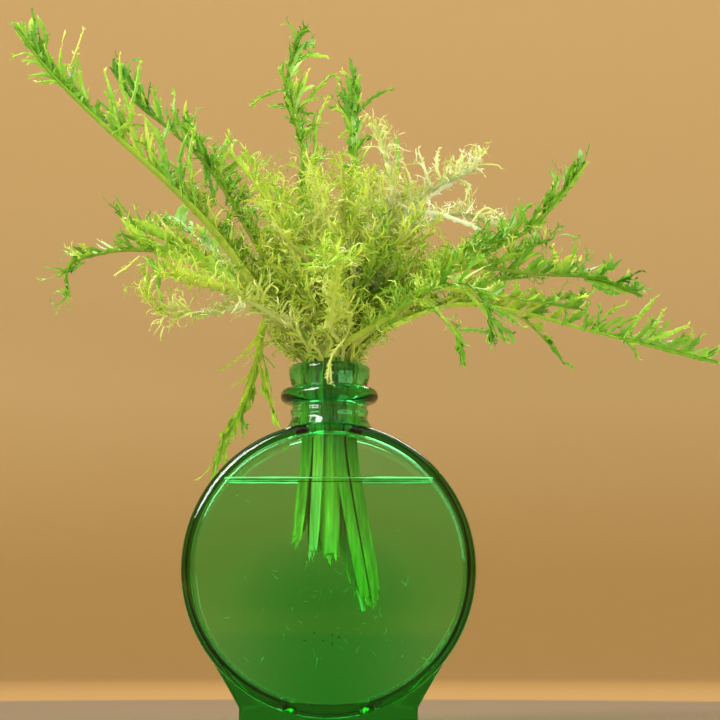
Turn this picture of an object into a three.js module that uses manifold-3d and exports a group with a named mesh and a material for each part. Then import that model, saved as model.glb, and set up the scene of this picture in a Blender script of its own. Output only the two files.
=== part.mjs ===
// A curly endive head: cut leaves standing in a round, flat-faced green glass bottle of water.
// Millimetres, +Z up. The origin is under the middle of the bottle's foot, and the front is -Y.
import * as THREE from "three";
import { mergeVertices } from "three/addons/utils/BufferGeometryUtils.js";
import Module from "manifold-3d";

const wasm = await Module();
wasm.setup();

// Bottle body: a round, flat-faced disc that stands on a short foot
const DISC_RADIUS = 57.4;
const DISC_CENTRE_Z = 60;
const DISC_DEPTH = 46;
const FACE_CROWN = 2.5;
const CROWN_SHARE = 0.7;
const RIM_ROUND = 6;
const DISC_SIDES = 40;
const RIM_STEPS = 3;
const FOOT_HALF_WIDTH = 34.6;
const FOOT_HEIGHT = 6.5;
const FOOT_DEPTH = 31;
const FOOT_ROUND = 2;

// The foot's sides sweep out and meet the disc at this angle below its middle
const SWEEP_TURN = THREE.MathUtils.degToRad(33);
const SWEEP_PULL = [38.4, 13.8];

// Bottle neck: a plain neck with a thread ring, a projecting collar and a lip that widens upwards
const NECK_RADIUS = 15.1;
const NECK_BOTTOM_Z = 120;
const NECK_FLARE = 1.7;
const THREAD_Z = 122.8;
const THREAD_HEIGHT = 1.3;
const THREAD_RISE = 0.6;
const COLLAR_RADIUS = 19.5;
const COLLAR_BOTTOM_Z = 126;
const COLLAR_TOP_Z = 132.3;
const COLLAR_BEVEL = 1.4;
const LIP_FOOT_RADIUS = 14.9;
const LIP_RADIUS = 16.2;
const LIP_BULGE_Z = 139;
const LIP_BEVEL = 1.1;
const RIM_Z = 141.6;
const BORE_RADIUS = 12.8;
const NECK_SIDES = 24;

// Inside of the bottle: a round hollow with a shallow dished floor
const CAVITY_RADIUS = 53.6;
const CAVITY_CENTRE_Z = 60;
const CAVITY_DEPTH = 38;
const CAVITY_ROUND = 5;
const CAVITY_SIDES = 32;
const CAVITY_FLOOR_Z = 13.6;
const CAVITY_FLOOR_RADIUS = 100;
const FLOOR_SIDES = 80;

// Water
const WATER_LEVEL_Z = 95;
const CLEARANCE = 0.3;

// Stalks stand in the bore in an outer and an inner ring round one middle stalk
const OUTER_RING_RADIUS = 9.7;
const INNER_RING_TURN = 15;
const INNER_RING_RADIUS = 5.4;
const STALK_HALF_WIDTH = 1.75;
const STALK_HALF_DEPTH = 1.35;
const BORE_ENTRY_Z = 108;

// A stalk or rib is this share of its full size at its cut foot and swells over this length
const FOOT_SHARE = 0.42;
const FOOT_SWELL_LENGTH = 60;

// Ribs thin out by these shares towards their tips
const RIB_WIDTH_LOSS = 0.72;
const RIB_DEPTH_LOSS = 0.75;
const SIDE_RIB_HALF_WIDTH = 1.3;
const SIDE_RIB_HALF_DEPTH = 1;
const SIDE_RIB_LOSS = 0.6;

// Leaf blades: a rib carries a lobe on each edge at every station
const BLADE_THICKNESS = 0.7;
const JOIN_TOLERANCE = 0.004;
const STALK_STEP = 22;
const LOBE_STEP_AT_BASE = 6.4;
const LOBE_STEP_AT_TIP = 8.8;
const LOBE_REACH_AT_BASE = 1.45;
const LOBE_REACH_AT_TIP = 0.65;
const LOBE_TRIES = 7;
const LOBE_KNEE = 0.38;
const LOBE_BARE_HEIGHT = 2.5;
const LOBE_SEED = 11;

// What each lobe is drawn from: lengths as shares, turns in radians, widths in millimetres
const LOBE_DRAW = {
  length: [0.8, 1.2],
  lossPerTry: 0.1,
  sweep: [0.4, 0.8],
  curl: [-0.8, 1.2],
  hook: [-0.56, 1.04],
  halfWidth: [0.6, 1.1],
  tooth: [1.4, 2.8],
};

// A lobe's tooth grows from this share of the way to the knee and leans on by this share of its size
const TOOTH_ROOT = 0.75;
const TOOTH_LEAN = 0.7;

// Balls that mark taken space
const BALL_STEP = 1.8;
const BALL_MARGIN = 0.5;
const RIB_BALL_STEP = 1.5;
const CELL_SIZE = 8;

// The heart: a fluted core that fills the space between the ribs, with curled blades standing out of it
const HEART = {
  foot: [13.4, 0.8, 44],
  stalkHalfWidth: 1.9,
  stalkHalfDepth: 1.7,
  bottomZ: 156,
  topZ: 219,
  radius: 12,
  leastRadius: 1.5,
  ribRoom: 2.6,
  skin: 2.4,
  sides: 20,
  rings: 9,
  seed: 102,
  blades: 100,
  bladeRise: [0.06, 0.98],
  bladeRootDepth: 0.8,
  bladeUpward: [-0.1, 1.6],
  bladeAside: 1.1,
  bladeBend: 1.2,
  bladeRootHalfWidth: 1.4,
  bladeKneeHalfWidth: 1,
  bladeLength: 27,
  shortestBlade: 7,
};

// Leaf paths are set out in a picture plane through AIM, seen from EYE in front of the bottle
const EYE = new THREE.Vector3(12.2, -900, 28.6);
const AIM = new THREE.Vector3(12.2, 0, 143.8);

const COLOURS = {
  glass: 0x1f8f3c,
  water: 0x9fd9a8,
  green: 0x6fa832,
  lime: 0x9dc43a,
  cream: 0xdfe39a,
  heart: 0xb9c94a,
};

// A repeatable draw between 0 and 1
function seededRandom(seed) {
  let state = seed >>> 0;
  return () => {
    state = (state + 0x6d2b79f5) >>> 0;
    let t = Math.imul(state ^ (state >>> 15), 1 | state);
    t = (t + Math.imul(t ^ (t >>> 7), 61 | t)) ^ t;
    return ((t ^ (t >>> 14)) >>> 0) / 4294967296;
  };
}

const between = (random, [low, high]) => low + (high - low) * random();

// Closed geometry to a solid and back
function solidOf(geometry) {
  const bare = geometry.index ? geometry.toNonIndexed() : geometry.clone();
  bare.deleteAttribute("normal");
  bare.deleteAttribute("uv");
  const merged = mergeVertices(bare, 1e-4);
  return new wasm.Manifold(
    new wasm.Mesh({
      numProp: 3,
      vertProperties: new Float32Array(merged.attributes.position.array),
      triVerts: new Uint32Array(merged.index.array),
    }),
  );
}

function geometryOf(solid) {
  const mesh = solid.getMesh();
  const position = new Float32Array(mesh.numVert * 3);
  for (let i = 0; i < mesh.numVert; i++) {
    const from = i * mesh.numProp;
    position.set(mesh.vertProperties.subarray(from, from + 3), i * 3);
  }
  const geometry = new THREE.BufferGeometry();
  geometry.setAttribute("position", new THREE.BufferAttribute(position, 3));
  geometry.setIndex(new THREE.BufferAttribute(new Uint32Array(mesh.triVerts), 1));
  return geometry;
}

// The joined solid's main body, without slivers finer than the tolerance
function largestBody(solid) {
  const bodies = solid.setTolerance(JOIN_TOLERANCE).decompose();
  return bodies.reduce((a, b) => (a.volume() > b.volume() ? a : b));
}

// A round, flat-faced disc with domed faces and a rounded rim, its axis along Y
function discSolid(radius, depth, crown, round, centreZ, sides) {
  const half = depth / 2;
  const front = [new THREE.Vector2(0, -half)];
  const flat = radius - round;
  front.push(new THREE.Vector2(flat * CROWN_SHARE, -half + crown * CROWN_SHARE ** 2));
  for (let k = 0; k <= RIM_STEPS; k++) {
    const turn = (k / RIM_STEPS) * (Math.PI / 2);
    const r = flat + round * Math.sin(turn);
    front.push(new THREE.Vector2(r, -half + crown + round * (1 - Math.cos(turn))));
  }
  const back = front.map((p) => new THREE.Vector2(p.x, -p.y)).reverse();
  const geometry = new THREE.LatheGeometry([...front, ...back], sides);
  return solidOf(geometry.translate(0, 0, centreZ));
}

// The foot's front outline: straight sides that sweep out into the disc
function footSolid() {
  const reach = DISC_RADIUS * 0.995;
  const top = [reach * Math.cos(SWEEP_TURN), DISC_CENTRE_Z - reach * Math.sin(SWEEP_TURN)];
  const outline = new THREE.Shape();
  outline.moveTo(-FOOT_HALF_WIDTH, 0);
  outline.lineTo(FOOT_HALF_WIDTH, 0);
  outline.lineTo(FOOT_HALF_WIDTH, FOOT_HEIGHT);
  outline.quadraticCurveTo(SWEEP_PULL[0], SWEEP_PULL[1], top[0], top[1]);
  outline.lineTo(-top[0], top[1]);
  outline.quadraticCurveTo(-SWEEP_PULL[0], SWEEP_PULL[1], -FOOT_HALF_WIDTH, FOOT_HEIGHT);
  const straightDepth = FOOT_DEPTH - 2 * FOOT_ROUND;
  const geometry = new THREE.ExtrudeGeometry(outline, {
    depth: straightDepth,
    bevelEnabled: true,
    bevelThickness: FOOT_ROUND,
    bevelSize: FOOT_ROUND * 0.5,
    bevelOffset: -FOOT_ROUND * 0.5,
    bevelSegments: 2,
    curveSegments: 6,
  });
  geometry.rotateX(Math.PI / 2);
  return solidOf(geometry.translate(0, straightDepth / 2, 0));
}

// A solid turned about the vertical axis through the neck
function turnedSolid(profile, sides) {
  const points = profile.map(([r, z]) => new THREE.Vector2(r, z));
  const geometry = new THREE.LatheGeometry(points, sides);
  return solidOf(geometry.rotateX(Math.PI / 2));
}

function neckSolid() {
  const rootZ = DISC_CENTRE_Z + CAVITY_RADIUS * 0.7;
  const collarMiddle = (COLLAR_BOTTOM_Z + COLLAR_TOP_Z) / 2;
  const profile = [
    [0, rootZ],
    [NECK_RADIUS + NECK_FLARE, rootZ],
    [NECK_RADIUS + NECK_FLARE, NECK_BOTTOM_Z - 2 * NECK_FLARE],
    [NECK_RADIUS, NECK_BOTTOM_Z],
    [NECK_RADIUS, THREAD_Z - THREAD_HEIGHT],
    [NECK_RADIUS + THREAD_RISE, THREAD_Z],
    [NECK_RADIUS, THREAD_Z + THREAD_HEIGHT],
    [NECK_RADIUS, COLLAR_BOTTOM_Z - THREAD_RISE],
    [COLLAR_RADIUS - COLLAR_BEVEL, COLLAR_BOTTOM_Z],
    [COLLAR_RADIUS, collarMiddle - COLLAR_BEVEL],
    [COLLAR_RADIUS, collarMiddle + COLLAR_BEVEL],
    [COLLAR_RADIUS - COLLAR_BEVEL, COLLAR_TOP_Z],
    [LIP_FOOT_RADIUS, COLLAR_TOP_Z + THREAD_RISE],
    [LIP_RADIUS, LIP_BULGE_Z],
    [LIP_RADIUS, RIM_Z - LIP_BEVEL],
    [LIP_RADIUS - LIP_BEVEL, RIM_Z],
    [0, RIM_Z],
  ];
  return turnedSolid(profile, NECK_SIDES);
}

function boreSolid() {
  const fromZ = DISC_CENTRE_Z + CAVITY_RADIUS * 0.6;
  const toZ = RIM_Z + 1;
  return turnedSolid([[0, fromZ], [BORE_RADIUS, fromZ], [BORE_RADIUS, toZ], [0, toZ]], NECK_SIDES);
}

// The hollow, or the water in it where it is set in by a clearance
function cavitySolid(inset) {
  const round = discSolid(
    CAVITY_RADIUS - inset, CAVITY_DEPTH - 2 * inset, FACE_CROWN, CAVITY_ROUND, CAVITY_CENTRE_Z,
    CAVITY_SIDES,
  );
  const floorRadius = CAVITY_FLOOR_RADIUS - inset;
  const aboveFloor = new THREE.CylinderGeometry(floorRadius, floorRadius, DISC_DEPTH, FLOOR_SIDES);
  return round.intersect(solidOf(aboveFloor.translate(0, 0, CAVITY_FLOOR_Z + CAVITY_FLOOR_RADIUS)));
}

function bottleSolid() {
  const disc = discSolid(
    DISC_RADIUS, DISC_DEPTH, FACE_CROWN, RIM_ROUND, DISC_CENTRE_Z, DISC_SIDES,
  );
  const outside = disc.add(footSolid()).add(neckSolid());
  return outside.subtract(cavitySolid(0).add(boreSolid()));
}

// Space already taken by ribs and lobes, kept as balls so that leaves stay clear of each other
class TakenSpace {
  constructor() {
    this.cells = new Map();
  }
  key(x, y, z) {
    return [x, y, z].map((value) => Math.floor(value / CELL_SIZE)).join();
  }
  add(point, radius, owner) {
    const key = this.key(point.x, point.y, point.z);
    if (!this.cells.has(key)) this.cells.set(key, []);
    this.cells.get(key).push({ point: point.clone(), radius, owner });
  }
  isFree(point, radius, owner) {
    for (let i = -1; i <= 1; i++) {
      for (let j = -1; j <= 1; j++) {
        for (let k = -1; k <= 1; k++) {
          const key = this.key(
            point.x + i * CELL_SIZE, point.y + j * CELL_SIZE, point.z + k * CELL_SIZE,
          );
          for (const ball of this.cells.get(key) ?? []) {
            if (ball.owner === owner) continue;
            const apart = ball.point.distanceTo(point);
            if (apart < ball.radius + radius + CLEARANCE) return false;
          }
        }
      }
    }
    return true;
  }
}

const taken = new TakenSpace();

function clearOfBottle(point, radius) {
  const fromAxis = Math.hypot(point.x, point.y);
  return point.z > RIM_Z + radius + CLEARANCE || fromAxis > COLLAR_RADIUS + radius + CLEARANCE;
}

function ballsAreFree(balls, owner) {
  return balls.every(({ point, radius }) => {
    return clearOfBottle(point, radius) && taken.isFree(point, radius, owner);
  });
}

function takeBalls(balls, owner) {
  balls.forEach(({ point, radius }) => taken.add(point, radius, owner));
}

// Collects triangles of one closed surface
class Surface {
  constructor() {
    this.points = [];
    this.faces = [];
  }
  point(p) {
    this.points.push(p.x, p.y, p.z);
    return this.points.length / 3 - 1;
  }
  triangle(a, b, c) {
    this.faces.push(a, b, c);
  }
  quad(a, b, c, d) {
    this.triangle(a, b, c);
    this.triangle(a, c, d);
  }
  geometry() {
    const made = new THREE.BufferGeometry();
    made.setAttribute("position", new THREE.Float32BufferAttribute(this.points, 3));
    made.setIndex(this.faces);
    return made;
  }
}

// Stations along a rib: place, forward direction, side direction and upper face direction
function stationsOf(curve, distances, sideways) {
  const length = curve.getLength();
  return distances.map((distance) => {
    const share = Math.min(1, Math.max(0, distance / length));
    const place = curve.getPointAt(share);
    const forward = curve.getTangentAt(share);
    const side = sideways.clone().addScaledVector(forward, -sideways.dot(forward)).normalize();
    const upper = new THREE.Vector3().crossVectors(forward, side).normalize();
    return { place, forward, side, upper, distance };
  });
}

// The four corners of a rib's section, in turn round it: right top, left top, left bottom, right bottom
const CORNERS = [[1, 1], [-1, 1], [-1, -1], [1, -1]];

function ringOf(surface, station, halfWidth, halfDepth) {
  const { place, side, upper } = station;
  return CORNERS.map(([s, u]) => {
    const corner = place.clone().addScaledVector(side, s * halfWidth);
    return surface.point(corner.addScaledVector(upper, u * halfDepth));
  });
}

// The middle line of a lobe on one side of a rib: out of the rib, then curled over
function lobeLine(from, to, sign, lobe) {
  const place = from.place.clone().lerp(to.place, 0.5);
  const { forward, side, upper } = from;
  const out = side.clone().multiplyScalar(sign * Math.cos(lobe.tilt));
  out.addScaledVector(upper, Math.sin(lobe.tilt));
  const face = upper.clone().multiplyScalar(Math.cos(lobe.tilt));
  face.addScaledVector(side, -sign * Math.sin(lobe.tilt));
  const first = out.clone().multiplyScalar(Math.cos(lobe.sweep));
  first.addScaledVector(forward, Math.sin(lobe.sweep));
  const second = first.clone().addScaledVector(face, lobe.curl);
  second.addScaledVector(forward, lobe.hook).normalize();
  const middle = place.clone().addScaledVector(first, lobe.length * LOBE_KNEE);
  const tip = middle.clone().addScaledVector(second, lobe.length * (1 - LOBE_KNEE));
  const across = forward.clone().addScaledVector(first, -forward.dot(first)).normalize();
  return { place, middle, tip, across, face, first };
}

// Balls along a bent line, wide at its root and narrow at its tip
function ballsAlong(line, length, rootRadius, width) {
  const count = Math.max(3, Math.ceil(length / BALL_STEP));
  return Array.from({ length: count }, (_, k) => {
    const share = (k + 1) / count;
    const isInner = share < LOBE_KNEE;
    const point = isInner
      ? line.place.clone().lerp(line.middle, share / LOBE_KNEE)
      : line.middle.clone().lerp(line.tip, (share - LOBE_KNEE) / (1 - LOBE_KNEE));
    const inner = THREE.MathUtils.lerp(rootRadius, width + BALL_MARGIN, share / LOBE_KNEE);
    return { point, radius: isInner ? inner : width * (1.5 - share) + BALL_MARGIN };
  });
}

// The first lobe drawn that stays clear of everything else, made shorter with each try
function chooseLobe(frond, from, to, sign, length) {
  const { random } = frond;
  const along = (from.distance - frond.bareLength) / (length - frond.bareLength);
  const reach = frond.lobeLength * THREE.MathUtils.lerp(LOBE_REACH_AT_BASE, LOBE_REACH_AT_TIP, along);
  for (let attempt = 0; attempt < LOBE_TRIES; attempt++) {
    const lobe = {
      length: reach * between(random, LOBE_DRAW.length) * (1 - LOBE_DRAW.lossPerTry * attempt),
      tilt: frond.lift + frond.spread * between(random, [-1, 1]),
      sweep: between(random, LOBE_DRAW.sweep),
      curl: between(random, LOBE_DRAW.curl),
      hook: between(random, LOBE_DRAW.hook),
      halfWidth: between(random, LOBE_DRAW.halfWidth),
      tooth: between(random, LOBE_DRAW.tooth),
      toothSide: random() < 0.5 ? 1 : 3,
    };
    const line = lobeLine(from, to, sign, lobe);
    const balls = ballsAlong(line, lobe.length, LOBE_STEP_AT_BASE / 2, lobe.halfWidth);
    if (ballsAreFree(balls, frond.owner)) return { line, lobe, balls };
  }
  return null;
}

// A toothed lobe that grows out of the edge of a rib between two stations
function addLobe(surface, base, line, lobe, sign) {
  const half = BLADE_THICKNESS / 2;
  const width = lobe.halfWidth;
  const at = (along, thick) => {
    const corner = line.middle.clone().addScaledVector(line.across, along);
    return surface.point(corner.addScaledVector(line.face, thick));
  };
  const ring = [at(-width, half), at(width, half), at(width, -half), at(-width, -half)];
  const tip = surface.point(line.tip);
  const face = (a, b, c) => (sign > 0 ? surface.triangle(a, c, b) : surface.triangle(a, b, c));
  for (let k = 0; k < 4; k++) {
    const next = (k + 1) % 4;
    const corners = [base[k], ring[k], ring[next], base[next]];
    if (k === lobe.toothSide) {
      const direction = k === 1 ? 1 : -1;
      const root = line.place.clone().lerp(line.middle, TOOTH_ROOT);
      root.addScaledVector(line.across, direction * (width + lobe.tooth));
      const apex = surface.point(root.addScaledVector(line.first, lobe.tooth * TOOTH_LEAN));
      corners.forEach((corner, c) => face(corner, corners[(c + 1) % 4], apex));
    } else {
      face(corners[0], corners[1], corners[2]);
      face(corners[0], corners[2], corners[3]);
    }
    face(ring[k], tip, ring[next]);
  }
}

// Stations are far apart on the bare stalk and close along the blade
function stationDistances(bareLength, length) {
  const distances = [];
  for (let d = 0; d < bareLength - STALK_STEP * 0.5; d += STALK_STEP) distances.push(d);
  let d = bareLength;
  while (d < length - 2) {
    distances.push(d);
    const along = (d - bareLength) / (length - bareLength);
    d += THREE.MathUtils.lerp(LOBE_STEP_AT_BASE, LOBE_STEP_AT_TIP, along);
  }
  return distances;
}

// A rib with lobes cut to it along both edges, as one closed surface
function frondSolid(frond) {
  const { curve, sideways, bareLength, sizeAt, owner } = frond;
  const length = curve.getLength();
  const stations = stationsOf(curve, stationDistances(bareLength, length), sideways);
  const surface = new Surface();
  const rings = stations.map((station) => {
    const size = sizeAt(station.distance);
    return ringOf(surface, station, size.halfWidth, size.halfDepth);
  });
  for (let i = 0; i + 1 < rings.length; i++) {
    const low = rings[i];
    const high = rings[i + 1];
    for (let k = 0; k < 4; k++) {
      const next = (k + 1) % 4;
      const sign = k === 3 ? 1 : -1;
      const isLobed = k % 2 === 1 && stations[i].distance >= bareLength;
      const made = isLobed ? chooseLobe(frond, stations[i], stations[i + 1], sign, length) : null;
      if (made) {
        takeBalls(made.balls, owner);
        const [top, bottom] = sign > 0 ? [0, 3] : [1, 2];
        const base = [low[top], high[top], high[bottom], low[bottom]];
        addLobe(surface, base, made.line, made.lobe, sign);
      } else {
        surface.quad(low[k], low[next], high[next], high[k]);
      }
    }
  }
  const first = rings[0];
  const last = rings[rings.length - 1];
  const end = surface.point(curve.getPointAt(1));
  surface.quad(first[3], first[2], first[1], first[0]);
  for (let k = 0; k < 4; k++) surface.triangle(last[k], last[(k + 1) % 4], end);
  return solidOf(surface.geometry());
}

// Each leaf's stalk stands in the bore at its ring and slot and ends at its foot in the water.
// The first rib runs on from the stalk, and each further rib starts on that one.
// A path's points are across, depth and height, as seenPoint takes them.
const LEAVES = [
  {
    name: "leaf_left_long", ring: "outer", slot: 180, foot: [-13, 0, 73], colour: "green",
    ribs: [
      {
        path: [
          [-27, -3, 170], [-46, -5, 195], [-62, -7, 212],
          [-94, -10, 241], [-112, -12, 259], [-126, -12, 277],
        ],
        lobe: 15, lift: 0.5, spread: 0.9,
      },
    ],
  },
  {
    name: "leaf_right_long", ring: "outer", slot: 30, foot: [17, 4, 47], colour: "green",
    ribs: [
      {
        path: [
          [31, 11, 160], [52, 13, 166], [76, 13, 163],
          [106, 12, 155], [133, 10, 148], [155.5, 10, 142.5],
        ],
        lobe: 15, lift: 0.6, spread: 0.7,
      },
      {
        path: [[58, 13, 166.2], [76, 18, 161], [86, 20, 152], [94, 20, 142]],
        lobe: 9, lift: 0.2, spread: 0.3,
      },
    ],
  },
  {
    name: "leaf_right_middle", ring: "outer", slot: 330, foot: [18, -4, 48], colour: "green",
    ribs: [
      {
        path: [[30, -10, 166], [52, -14, 180], [83, -16, 178], [108, -17, 176], [125, -17, 169]],
        lobe: 15, lift: 0.35, spread: 0.8,
      },
      {
        path: [[40, -12, 173.6], [62, -24, 170], [82, -27, 167], [99, -27, 164]],
        lobe: 11, lift: 0.5, spread: 0.6,
      },
    ],
  },
  {
    name: "leaf_right_high", ring: "outer", slot: 0, foot: [18.6, 0, 52], colour: "green",
    ribs: [
      {
        path: [[31, -1, 168], [58, 0, 184], [80, 2, 196], [92, 3, 209], [102.5, 3, 223]],
        lobe: 15, lift: 0.4, spread: 0.8,
      },
    ],
  },
  {
    name: "leaf_left_low", ring: "outer", slot: 210, foot: [-12, -6.5, 71], colour: "lime",
    ribs: [
      {
        path: [
          [-31, -13, 166], [-52, -18, 183], [-74, -20, 187.5],
          [-92, -21, 186], [-104, -21, 181], [-104, -22, 169],
        ],
        lobe: 13, lift: 0.3, spread: 0.9,
      },
      {
        path: [[-42, -15.8, 177], [-60, -12, 190], [-76, -10, 196], [-86, -10, 203]],
        lobe: 12, lift: 0.4, spread: 0.8,
      },
    ],
  },
  {
    name: "leaf_left_front", ring: "outer", slot: 240, foot: [-6.6, -9, 67], colour: "cream",
    ribs: [
      {
        path: [[-24, -26, 161], [-44, -35, 170], [-58, -38, 175], [-68, -39, 179]],
        lobe: 13, lift: 0.1, spread: 1,
      },
      {
        path: [[-34, -31, 165.8], [-52, -33, 162], [-66, -34, 163], [-75, -33, 173]],
        lobe: 9, lift: -0.2, spread: 0.8,
      },
    ],
  },
  {
    name: "leaf_left_drooping", ring: "outer", slot: 120, foot: [-6.6, 8, 70], colour: "green",
    ribs: [
      {
        path: [
          [-7.5, 14.5, 160], [-16, 28, 168], [-26, 42, 157],
          [-28.5, 47, 143], [-34, 51, 126], [-42, 54, 113], [-45, 56, 102],
        ],
        lobe: 15, lift: -0.4, spread: 0.4, bare: 12,
      },
      {
        path: [[-28.6, 47.2, 142.4], [-25.8, 50, 134], [-24, 51, 127], [-20.5, 52, 117]],
        lobe: 9, lift: -0.3, spread: 0.4,
      },
    ],
  },
  {
    name: "leaf_left_back", ring: "outer", slot: 150, foot: [-12, 6, 75], colour: "green",
    ribs: [
      {
        path: [[-28, 20, 168], [-46, 36, 186], [-58, 52, 196], [-66, 66, 198], [-72, 78, 194]],
        lobe: 16, lift: 0.4, spread: 0.9,
      },
    ],
  },
  {
    name: "leaf_back", ring: "outer", slot: 90, foot: [0.5, 9.5, 68], colour: "lime",
    ribs: [
      {
        path: [[0, 32, 165], [2, 56, 182], [4, 78, 188], [3, 98, 181]],
        lobe: 16, lift: 0.4, spread: 0.9,
      },
    ],
  },
  {
    name: "leaf_right_back", ring: "outer", slot: 60, foot: [15, 7.5, 50], colour: "green",
    ribs: [
      {
        path: [[24, 30, 164], [40, 52, 179], [54, 70, 184], [66, 88, 178]],
        lobe: 16, lift: 0.4, spread: 0.9,
      },
    ],
  },
  {
    name: "leaf_right_front", ring: "outer", slot: 300, foot: [14.6, -7.5, 49], colour: "green",
    ribs: [
      {
        path: [[26, -24, 162], [42, -36, 172], [55, -42, 174], [63, -45, 164], [64, -46, 151]],
        lobe: 14, lift: 0.2, spread: 0.8,
      },
      {
        path: [[34.4, -31, 168.5], [44, -42, 162], [51, -46, 153], [53, -47, 142]],
        lobe: 9, lift: 0, spread: 0.6,
      },
    ],
  },
  {
    name: "leaf_front", ring: "outer", slot: 270, foot: [0.5, -9.5, 66], colour: "lime",
    ribs: [
      {
        path: [[1, -30, 164], [3, -50, 178], [2, -68, 184], [-2, -84, 180]],
        lobe: 15, lift: 0.4, spread: 1,
      },
    ],
  },
  {
    name: "leaf_left_upright", ring: "inner", slot: 180, foot: [-6, 0, 74], colour: "green",
    ribs: [
      {
        path: [
          [-17, 3, 168], [-33, 6, 196], [-48, 7, 220],
          [-63, 8, 235], [-78, 9, 247], [-88, 8, 261],
        ],
        lobe: 17, lift: 0.4, spread: 0.9,
      },
    ],
  },
  {
    name: "leaf_top_left", ring: "inner", slot: 120, foot: [-2.7, 4.3, 71], colour: "green",
    ribs: [
      {
        path: [
          [-9, 15, 172], [-12, 21, 200], [-10, 26, 226],
          [-15, 28, 243], [-17, 29, 254], [-11.4, 30, 275],
        ],
        lobe: 16, lift: 0.3, spread: 1,
      },
    ],
  },
  {
    name: "leaf_top", ring: "inner", slot: 60, foot: [11, 3.4, 55], colour: "green",
    ribs: [
      {
        path: [[9, 16, 172], [11, 26, 200], [9.5, 33, 224], [9, 36, 242], [10.2, 38, 258]],
        lobe: 16, lift: 0.3, spread: 0.9,
      },
    ],
  },
  {
    name: "leaf_cream_right", ring: "inner", slot: 0, foot: [13.8, 0, 53], colour: "cream",
    ribs: [
      {
        path: [[17, 1, 170], [25, 2, 192], [36, 2, 208], [48, 1, 215], [59, 0, 220]],
        lobe: 16, lift: 0.5, spread: 1,
      },
      {
        path: [[24, 2, 190.5], [40, 14, 199], [54, 18, 202], [66, 20, 197]],
        lobe: 11, lift: 0.5, spread: 0.8,
      },
    ],
  },
  {
    name: "leaf_front_right", ring: "inner", slot: 300, foot: [11, -3.4, 54], colour: "cream",
    ribs: [
      {
        path: [[9, -16, 172], [18, -24, 193], [26, -24, 212], [20, -24, 236]],
        lobe: 15, lift: 0.4, spread: 1,
      },
    ],
  },
  {
    name: "leaf_front_left", ring: "inner", slot: 240, foot: [-2.7, -4.3, 69], colour: "lime",
    ribs: [
      {
        path: [[-9, -15, 172], [-18, -26, 194], [-28, -32, 212], [-41, -34, 228]],
        lobe: 16, lift: 0.4, spread: 1,
      },
    ],
  },
];

const vector = ([x, y, z]) => new THREE.Vector3(x, y, z);

// The point at a given depth that the eye sees at (across, height) in the picture plane
function seenPoint([across, depth, height]) {
  const forward = AIM.clone().sub(EYE).normalize();
  const right = new THREE.Vector3(1, 0, 0);
  const up = right.clone().cross(forward);
  const ray = AIM.clone().sub(EYE);
  ray.addScaledVector(right, across - AIM.x).addScaledVector(up, height - AIM.z);
  return EYE.clone().addScaledVector(ray, (depth - EYE.y) / ray.y);
}

function slotPlace(leaf) {
  const radius = leaf.ring === "outer" ? OUTER_RING_RADIUS : INNER_RING_RADIUS;
  const turn = THREE.MathUtils.degToRad(leaf.slot + (leaf.ring === "inner" ? INNER_RING_TURN : 0));
  return [radius * Math.cos(turn), radius * Math.sin(turn)];
}

function curveThrough(points) {
  const curve = new THREE.CatmullRomCurve3(points, false, "centripetal");
  curve.arcLengthDivisions = 400;
  return curve;
}

function stalkPoints(leaf) {
  const [x, y] = slotPlace(leaf);
  const heights = [BORE_ENTRY_Z, (BORE_ENTRY_Z + RIM_Z) / 2, RIM_Z - 4, RIM_Z + 5];
  return [leaf.foot, ...heights.map((z) => [x, y, z])].map(vector);
}

// The direction across a rib, level and square to where the rib leads
function sidewaysOf(points) {
  const from = points.length > 3 ? points[2] : points[0];
  const lead = points[points.length - 1].clone().sub(from);
  lead.z = 0;
  return new THREE.Vector3(0, 0, 1).cross(lead.normalize()).normalize();
}

function distanceToHeight(curve, height) {
  const samples = 300;
  const length = curve.getLength();
  for (let k = 0; k <= samples; k++) {
    if (curve.getPointAt(k / samples).z > height) return (k / samples) * length;
  }
  return length;
}

const footSwell = (distance) => Math.min(1, FOOT_SHARE + distance / FOOT_SWELL_LENGTH);

// A stalk thickens from its cut foot and thins again along the blade
function stalkSize(distance, bareLength, length) {
  const swell = footSwell(distance);
  const blade = Math.max(0, (distance - bareLength) / (length - bareLength));
  return {
    halfWidth: STALK_HALF_WIDTH * swell * (1 - RIB_WIDTH_LOSS * blade),
    halfDepth: STALK_HALF_DEPTH * swell * (1 - RIB_DEPTH_LOSS * Math.sqrt(blade)),
  };
}

function sideRibSize(distance, length) {
  const taper = 1 - SIDE_RIB_LOSS * (distance / length);
  return { halfWidth: SIDE_RIB_HALF_WIDTH * taper, halfDepth: SIDE_RIB_HALF_DEPTH * taper };
}

function takeRib(curve, radiusAt, owner) {
  const length = curve.getLength();
  const steps = Math.ceil(length / RIB_BALL_STEP);
  for (let k = 0; k <= steps; k++) {
    const share = k / steps;
    taken.add(curve.getPointAt(share), radiusAt(share * length), owner);
  }
}

// Every rib of a leaf, with its curve and sizes, before any lobe is placed
function ribsOf(leaf) {
  return leaf.ribs.map((rib, index) => {
    const isFirst = index === 0;
    const way = rib.path.map(seenPoint);
    const points = isFirst ? [...stalkPoints(leaf), ...way] : way;
    const curve = curveThrough(points);
    const length = curve.getLength();
    const bareStalk = distanceToHeight(curve, RIM_Z + LOBE_BARE_HEIGHT) + (rib.bare ?? 0);
    const bareLength = isFirst ? bareStalk : LOBE_BARE_HEIGHT;
    const sizeAt = (distance) =>
      isFirst ? stalkSize(distance, bareLength, length) : sideRibSize(distance, length);
    return { rib, curve, length, bareLength, sizeAt, sideways: sidewaysOf(points) };
  });
}

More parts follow.
